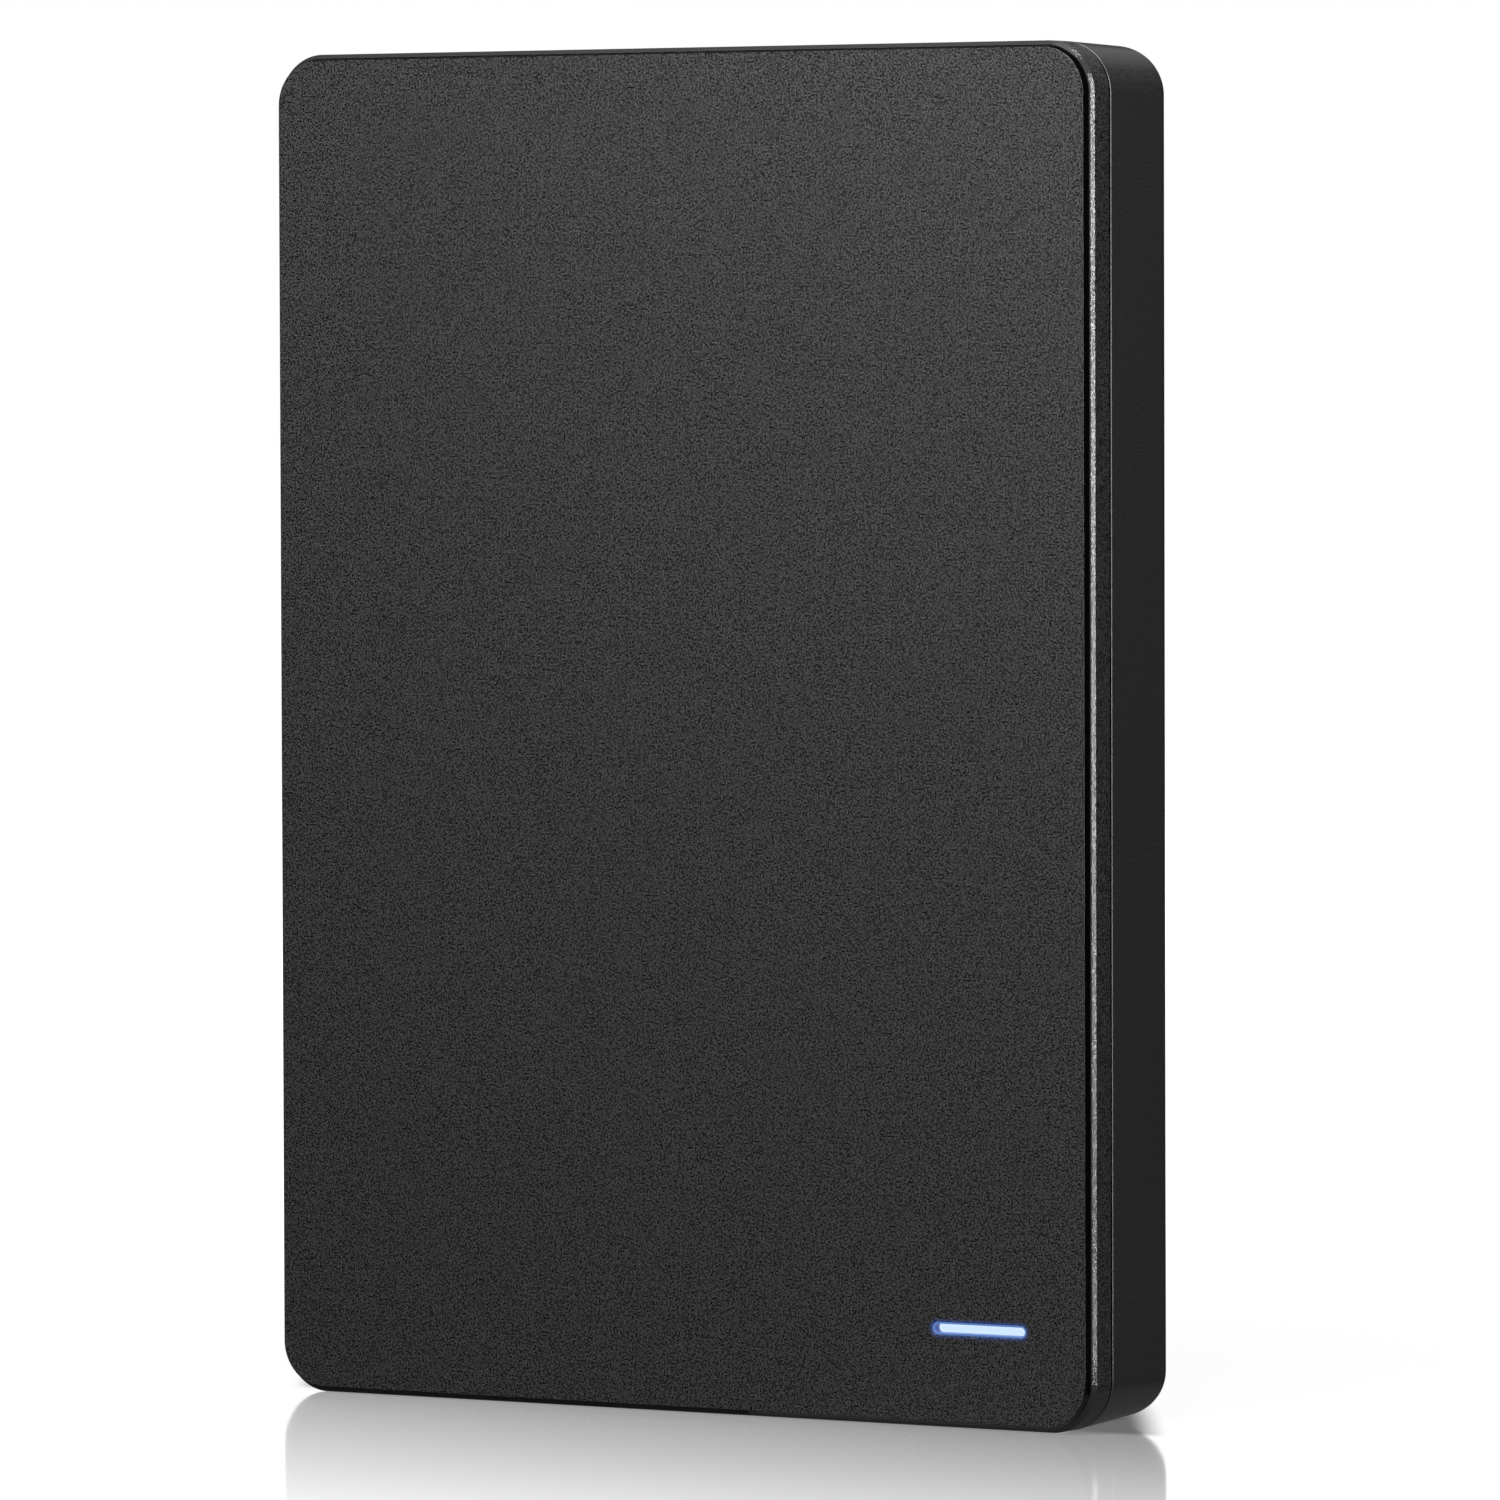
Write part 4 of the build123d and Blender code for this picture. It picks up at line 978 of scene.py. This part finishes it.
# The painted glow round the slot fades with the distance from the slot, which is the distance from its straight core
# less its radius.
def addPaintedGlow(tree, surface, place, look):
    split = addNode(tree, "SeparateXYZ", {0: place}).outputs
    along = calc(tree, "ABSOLUTE", calc(tree, "SUBTRACT", split["X"], lightSlot["x"] * mm))
    beyond = calc(tree, "MAXIMUM", calc(tree, "SUBTRACT", along, slotCore * mm))
    above = calc(tree, "SUBTRACT", split["Z"], lightSlot["z"] * mm)
    apart = addNode(tree, "CombineXYZ", {"X": beyond, "Z": above}).outputs[0]
    away = addNode(tree, "VectorMath", {0: apart}, operation="LENGTH").outputs["Value"]
    paintedGlowEnd = slotRadius + look["paintedGlowReach"]
    fade = mapRange(tree, away, slotRadius * mm, paintedGlowEnd * mm, 1.0, 0.0, "SMOOTHERSTEP")
    feed(tree, surface, {"Emission Color": rgba(look["paintedGlow"]), "Emission Strength": fade})


materials["front_plastic"] = makeShellPlastic("front_plastic", frontPlastic)
materials["rear_plastic"] = makeShellPlastic("rear_plastic", rearPlastic)

# The lit guide glows by depth behind the face: blue rim, deep blue wall, near-white floor, dim blue inside the case
litGuide = {
    "stops": (
        (0.0, (0.09, 0.18, 0.43)),
        (0.10, (0.06, 0.13, 0.36)),
        (0.22, (0.014, 0.032, 0.17)),
        (0.80, (0.02, 0.05, 0.26)),
        (0.93, (0.64, 0.81, 0.98)),
        (1.0, (0.64, 0.81, 0.98)),
    ),
    "strength": 1.0,
    "base": (0.02, 0.04, 0.12),
    "rough": 0.25,
}


def makeLitGuide(look):
    material, tree, surface = newMaterial("litGuide")
    place = addNode(tree, "TexCoord").outputs["Object"]
    deep = addNode(tree, "SeparateXYZ", {0: place}).outputs["Y"]
    top, bottom = ((faceY + lightGuide[key]) * mm for key in ("rimDepth", "floorDepth"))
    ramp = addNode(tree, "ValToRGB", {"Fac": mapRange(tree, deep, top, bottom)})
    stops = ramp.color_ramp.elements
    for index, (at, colour) in enumerate(look["stops"]):
        stop = stops[index] if index < 2 else stops.new(at)  # a new ramp has two stops
        stop.position = at
        stop.color = rgba(colour)
    values = {
        "Base Color": rgba(look["base"]),
        "Roughness": look["rough"],
        "Emission Color": ramp.outputs["Color"],
        "Emission Strength": look["strength"],
    }
    feed(tree, surface, values)
    return material


materials["light_guide"] = makeLitGuide(litGuide)

for part in frame["record"]["subparts"]:
    node = frame["nodes"][part["node"]]
    for place in node.material_slots:
        place.material = materials[part["material_slot"]]
    if not node.material_slots:
        node.data.materials.append(materials[part["material_slot"]])
for piece, slot in (
    (shellFront, "front_plastic"),
    (ribsFront, "front_plastic"),
    (shellRear, "rear_plastic"),
    (ribsRear, "rear_plastic"),
    (guidePiece, "light_guide"),
):
    piece.data.materials.clear()
    piece.data.materials.append(materials[slot])
print("finishes:", len(materials))

floorLook = {
    "half": 6.0,
    "level": -1e-5,  # just under the case
    "white": 0.25,
    "glowNear": 0.85,
    "glowFar": 1.02,
    "glowReach": (0.05, 0.25),  # metres from the object over which the floor turns plain white
    "mirror": 0.745,  # at the object's foot
    "mirrorMost": 0.78,
    "mirrorSlope": (0.9, 6.0, 0.0),  # gain of the mirror per metre across and to the back
    "mirrorReach": (0.1, 0.28),
    "mirrorIndex": 1.5,
    "mirrorGrazing": 0.558,  # Fresnel share at which the mirror is whole, met at about six degrees
    "contact": 0.012,  # tone of the shade right under the case
    "contactEnd": (0.0325, 0.0365),  # half length over which the contact gives way to the shade
    "contactBack": (0.003, 0.009),
    "dusk": 0.15,  # tone of the shade at the lifted corners and behind the case
    "duskLean": 0.6,  # how far it leans to the left, per metre to the back
    "duskFront": (-0.0054, -0.002),  # from light to shade
    "duskBack": (0.008, 0.036),  # from shade to light
    "duskSide": (0.04, 0.044),
    "rough": 0.09,
    "fill": 0.12,
}


def addStage(name, points, faces):
    piece = bpy.data.objects.new(name, bpy.data.meshes.new(name))
    piece.data.from_pydata(points, [], faces)
    bpy.context.scene.collection.objects.link(piece)
    return piece


# 1 for rays that show the background itself: camera, glossy and transmission rays
def backgroundRays(tree):
    rays = addNode(tree, "LightPath").outputs
    seen = calc(tree, "MAXIMUM", rays["Is Camera Ray"], rays["Is Glossy Ray"])
    return calc(tree, "MAXIMUM", seen, rays["Is Transmission Ray"])


# From behind, the surface is clear.
def showOneSide(tree, shader):
    back = addNode(tree, "NewGeometry").outputs["Backfacing"]
    clear = addNode(tree, "BsdfTransparent").outputs[0]
    feed(tree, tree.nodes["Material Output"], {"Surface": mixShaders(tree, back, shader, clear)})


# The floor adds a matte white that takes the shadow to a glow that turns plain white away from the object. A mirror is
# blended in by its share near the object times its Fresnel share, so it is strongest at grazing views. The shade behind
# the case and the darker contact under it are laid over both.
def makeFloor(look):
    half, level = look["half"], look["level"]
    corners = [(-half, -half, level), (half, -half, level), (half, half, level), (-half, half, level)]
    floor = addStage("studioFloor", corners, [(0, 1, 2, 3)])
    material, tree, surface = newMaterial("studioFloor")
    tree.nodes.remove(surface)
    place = addNode(tree, "TexCoord").outputs["Object"]
    away = addNode(tree, "VectorMath", {0: place}, operation="LENGTH").outputs["Value"]
    split = addNode(tree, "SeparateXYZ", {0: place}).outputs
    across, deep = split["X"], split["Y"]

    def fade(value, reach, near, far):
        return mapRange(tree, value, *reach, near, far, "SMOOTHSTEP")

    def glow(strength):
        return addNode(tree, "Emission", {"Color": rgba(1), "Strength": strength}).outputs[0]

    matte = addNode(tree, "BsdfDiffuse", {"Color": rgba(look["white"])}).outputs[0]
    white = glow(fade(away, look["glowReach"], look["glowNear"], look["glowFar"]))
    ground = addNode(tree, "AddShader", {0: matte, 1: white}).outputs[0]

    slope = addNode(tree, "VectorMath", {0: place, 1: look["mirrorSlope"]}, operation="DOT_PRODUCT").outputs["Value"]
    share = mapRange(tree, slope, -look["mirror"], look["mirrorMost"] - look["mirror"], 0.0, look["mirrorMost"])
    share = calc(tree, "MULTIPLY", share, fade(away, look["mirrorReach"], 1.0, 0.0))
    polish = addNode(tree, "Fresnel", {"IOR": look["mirrorIndex"]}).outputs["Fac"]
    share = calc(tree, "MULTIPLY", share, mapRange(tree, polish, 0.0, look["mirrorGrazing"]))
    mirror = addNode(tree, "BsdfGlossy", {"Color": rgba(1), "Roughness": look["rough"]}).outputs[0]
    shown = mixShaders(tree, share, ground, mirror)

    leaning = {0: deep, 1: look["duskLean"], 2: across}
    lean = addNode(tree, "Math", leaning, operation="MULTIPLY_ADD").outputs[0]
    ends = fade(calc(tree, "ABSOLUTE", lean), look["duskSide"], 1.0, 0.0)
    front, back = fade(deep, look["duskFront"], 0.0, 1.0), fade(deep, look["duskBack"], 1.0, 0.0)
    shade = calc(tree, "MULTIPLY", ends, calc(tree, "MULTIPLY", front, back))
    tones = (look["contact"], look["dusk"])
    contactEnd = fade(calc(tree, "ABSOLUTE", across), look["contactEnd"], *tones)
    tone = calc(tree, "MAXIMUM", contactEnd, fade(deep, look["contactBack"], *tones))
    lit = mixShaders(tree, shade, shown, glow(tone))
    showOneSide(tree, mixShaders(tree, backgroundRays(tree), glow(look["fill"]), lit))
    floor.data.materials.append(material)


makeFloor(floorLook)

# Studio cards, seen only in reflections and only from the object's side: arcs swept round the object, turned in degrees
# from the front. Upright ones have two radii and two heights. Floor ones lie at a level and run from a little inside
# the case's outline to a reach. Most are dark and leave the low backdrop behind and the strip light open, backGlow is a
# lighter panel, and stripMirror mirrors the strip light.
studioCards = {
    "wall": {"radius": (2.2, 2.2), "height": (0.0, 6.0), "turn": (-125.0, 198.0), "shade": 0.015},
    "backWall": {"radius": (2.2, 2.2), "height": (0.35, 6.0), "turn": (198.0, 235.0), "shade": 0.015},
    "backGlow": {"radius": (2.15, 2.15), "height": (0.95, 1.55), "turn": (165.0, 200.0), "shade": 0.5},
    "leftFlag": {"radius": (0.22, 0.22), "height": (0.0, 0.22), "turn": (-125.0, 46.0), "shade": 0.015},
    "rightFlag": {"radius": (0.22, 0.22), "height": (0.0, 0.22), "turn": (76.0, 183.0), "shade": 0.015},
    "leftFloor": {"level": 0.00006, "reach": 0.22, "turn": (-125.0, 46.0), "shade": 0.03},
    "frontFloor": {"level": 0.00006, "reach": 0.08, "turn": (46.0, 76.0), "shade": 0.1},
    "rightFloor": {"level": 0.00006, "reach": 0.22, "turn": (76.0, 235.0), "shade": 0.03},
    "cornerFloor": {"level": 0.00009, "reach": 0.046, "turn": (50.0, 110.0), "shade": 0.13},
    "stripMirror": {"radius": (0.33, 0.72), "height": (0.00006, 0.00006), "turn": (46.0, 76.0), "mirror": 0.6},
}
cardMake = {
    "steps": 96,
    "inset": 0.004,  # where floor cards start, in from the case's outline
    "leastSlope": 1e-6,
    "mirrorRough": 0.05,
    "hiddenFrom": ("camera", "diffuse", "transmission", "volume_scatter", "shadow"),
}


def makeCard(name, look):
    turn = np.radians(np.linspace(*look["turn"], cardMake["steps"]))
    ring = np.stack([np.sin(turn), -np.cos(turn), np.zeros(len(turn))], 1)
    if "reach" in look:
        half = np.array([cadBox[1].x, cadBox[1].y]) - cardMake["inset"]
        start = (half / np.maximum(np.abs(ring[:, :2]), cardMake["leastSlope"])).min(1)[:, None]
        radii, heights = (start, look["reach"]), (look["level"], look["level"])
    else:
        radii, heights = look["radius"], look["height"]
    points = np.concatenate([ring * radius + (0, 0, height) for radius, height in zip(radii, heights)])
    low = np.arange(len(turn) - 1)
    faces = np.stack([low, low + len(turn), low + 1 + len(turn), low + 1], 1)
    card = addStage(name, points.tolist(), faces.tolist())
    for ray in cardMake["hiddenFrom"]:
        setattr(card, "visible_" + ray, False)
    material, tree, surface = newMaterial(name)
    tree.nodes.remove(surface)
    if "mirror" in look:
        values = {"Color": rgba(look["mirror"]), "Roughness": cardMake["mirrorRough"]}
        front = addNode(tree, "BsdfGlossy", values)
    else:
        front = addNode(tree, "Emission", {"Color": rgba(look["shade"]), "Strength": 1.0})
    showOneSide(tree, front.outputs[0])
    card.data.materials.append(material)


for name, look in studioCards.items():
    makeCard(name, look)
print("studio: floor and", len(studioCards), "cards")

# Soft lights: place and aim in metres, size across and up, power in watts
lamps = {
    "topSoftbox": {"at": (0.08, -0.78, 1.05), "aim": (0.0, 0.0, 0.06), "size": (0.5, 0.6), "power": 1.6},
    "nearKey": {"at": (0.045, -0.125, 0.255), "aim": (0.0, 0.0, 0.09), "size": (0.12, 0.1), "power": 0.8},
    "rightStrip": {"at": (0.738, -0.398, 0.26), "aim": (0.04, -0.007, 0.26), "size": (0.06, 0.52), "power": 2.9},
    "backFill": {
        "at": (-0.6, 0.7, 0.55),
        "aim": (0.0, 0.0, 0.06),
        "size": (0.9, 0.7),
        "power": 9.0,
        "mirrored": False,  # left out of reflections
    },
}


def addLamp(name, look):
    lamp = bpy.data.lights.new(name, "AREA")
    lamp.shape = "RECTANGLE"
    lamp.size, lamp.size_y = look["size"]
    lamp.energy = look["power"]
    holder = bpy.data.objects.new(name, lamp)
    at, aim = Vector(look["at"]), Vector(look["aim"])
    holder.matrix_world = Matrix.Translation(at) @ (aim - at).to_track_quat("-Z", "Y").to_matrix().to_4x4()
    holder.visible_glossy = look.get("mirrored", True)
    bpy.context.scene.collection.objects.link(holder)


for name, look in lamps.items():
    addLamp(name, look)

backdrop = {"seen": 1.0, "fill": 0.1}


# The backdrop is white to the camera and in reflections, and a dim fill for everything else.
def makeBackdrop(look):
    world = bpy.data.worlds.new("studio")
    bpy.context.scene.world = world
    world.use_nodes = True
    tree = world.node_tree
    strength = mapRange(tree, backgroundRays(tree), 0.0, 1.0, look["fill"], look["seen"])
    feed(tree, tree.nodes["Background"], {"Color": rgba(1), "Strength": strength})


makeBackdrop(backdrop)

cameraView = {
    "azimuth": 31.1256,
    "elevation": 2.1786,
    "roll": -0.176,
    "distance": 910.63,
    "focalPixels": 10653.2,
    "imagePixels": 1500,
    "aimAcross": 2.7267,  # millimetres to the right of the object's middle
    "aimHeight": 56.197,
    "sensorWidth": 36.0,
    "clipStart": 0.01,
}


# The camera stands on a ray from its aim, given by azimuth and elevation, and rolls about that ray.
def placeCamera(look):
    turn, lift, roll = (math.radians(look[k]) for k in ("azimuth", "elevation", "roll"))
    back = Vector((math.sin(turn) * math.cos(lift), -math.cos(turn) * math.cos(lift), math.sin(lift)))
    level = Vector((math.cos(turn), math.sin(turn), 0))
    upright = back.cross(level)
    right = level * math.cos(roll) + upright * math.sin(roll)
    up = upright * math.cos(roll) - level * math.sin(roll)
    aim = Vector((0, 0, look["aimHeight"] * mm)) + level * look["aimAcross"] * mm
    at = aim + back * look["distance"] * mm
    lens = bpy.data.cameras.new("photoCamera")
    lens.sensor_width = look["sensorWidth"]
    lens.lens = look["focalPixels"] / look["imagePixels"] * lens.sensor_width
    lens.clip_start = look["clipStart"]
    holder = bpy.data.objects.new("photoCamera", lens)
    holder.matrix_world = Matrix(
        (
            (right.x, up.x, back.x, at.x),
            (right.y, up.y, back.y, at.y),
            (right.z, up.z, back.z, at.z),
            (0, 0, 0, 1),
        )
    )
    bpy.context.scene.collection.objects.link(holder)
    bpy.context.scene.camera = holder


placeCamera(cameraView)
bpy.context.scene.view_settings.view_transform = "Standard"
print("studio:", len(lamps), "lamps, backdrop and camera")
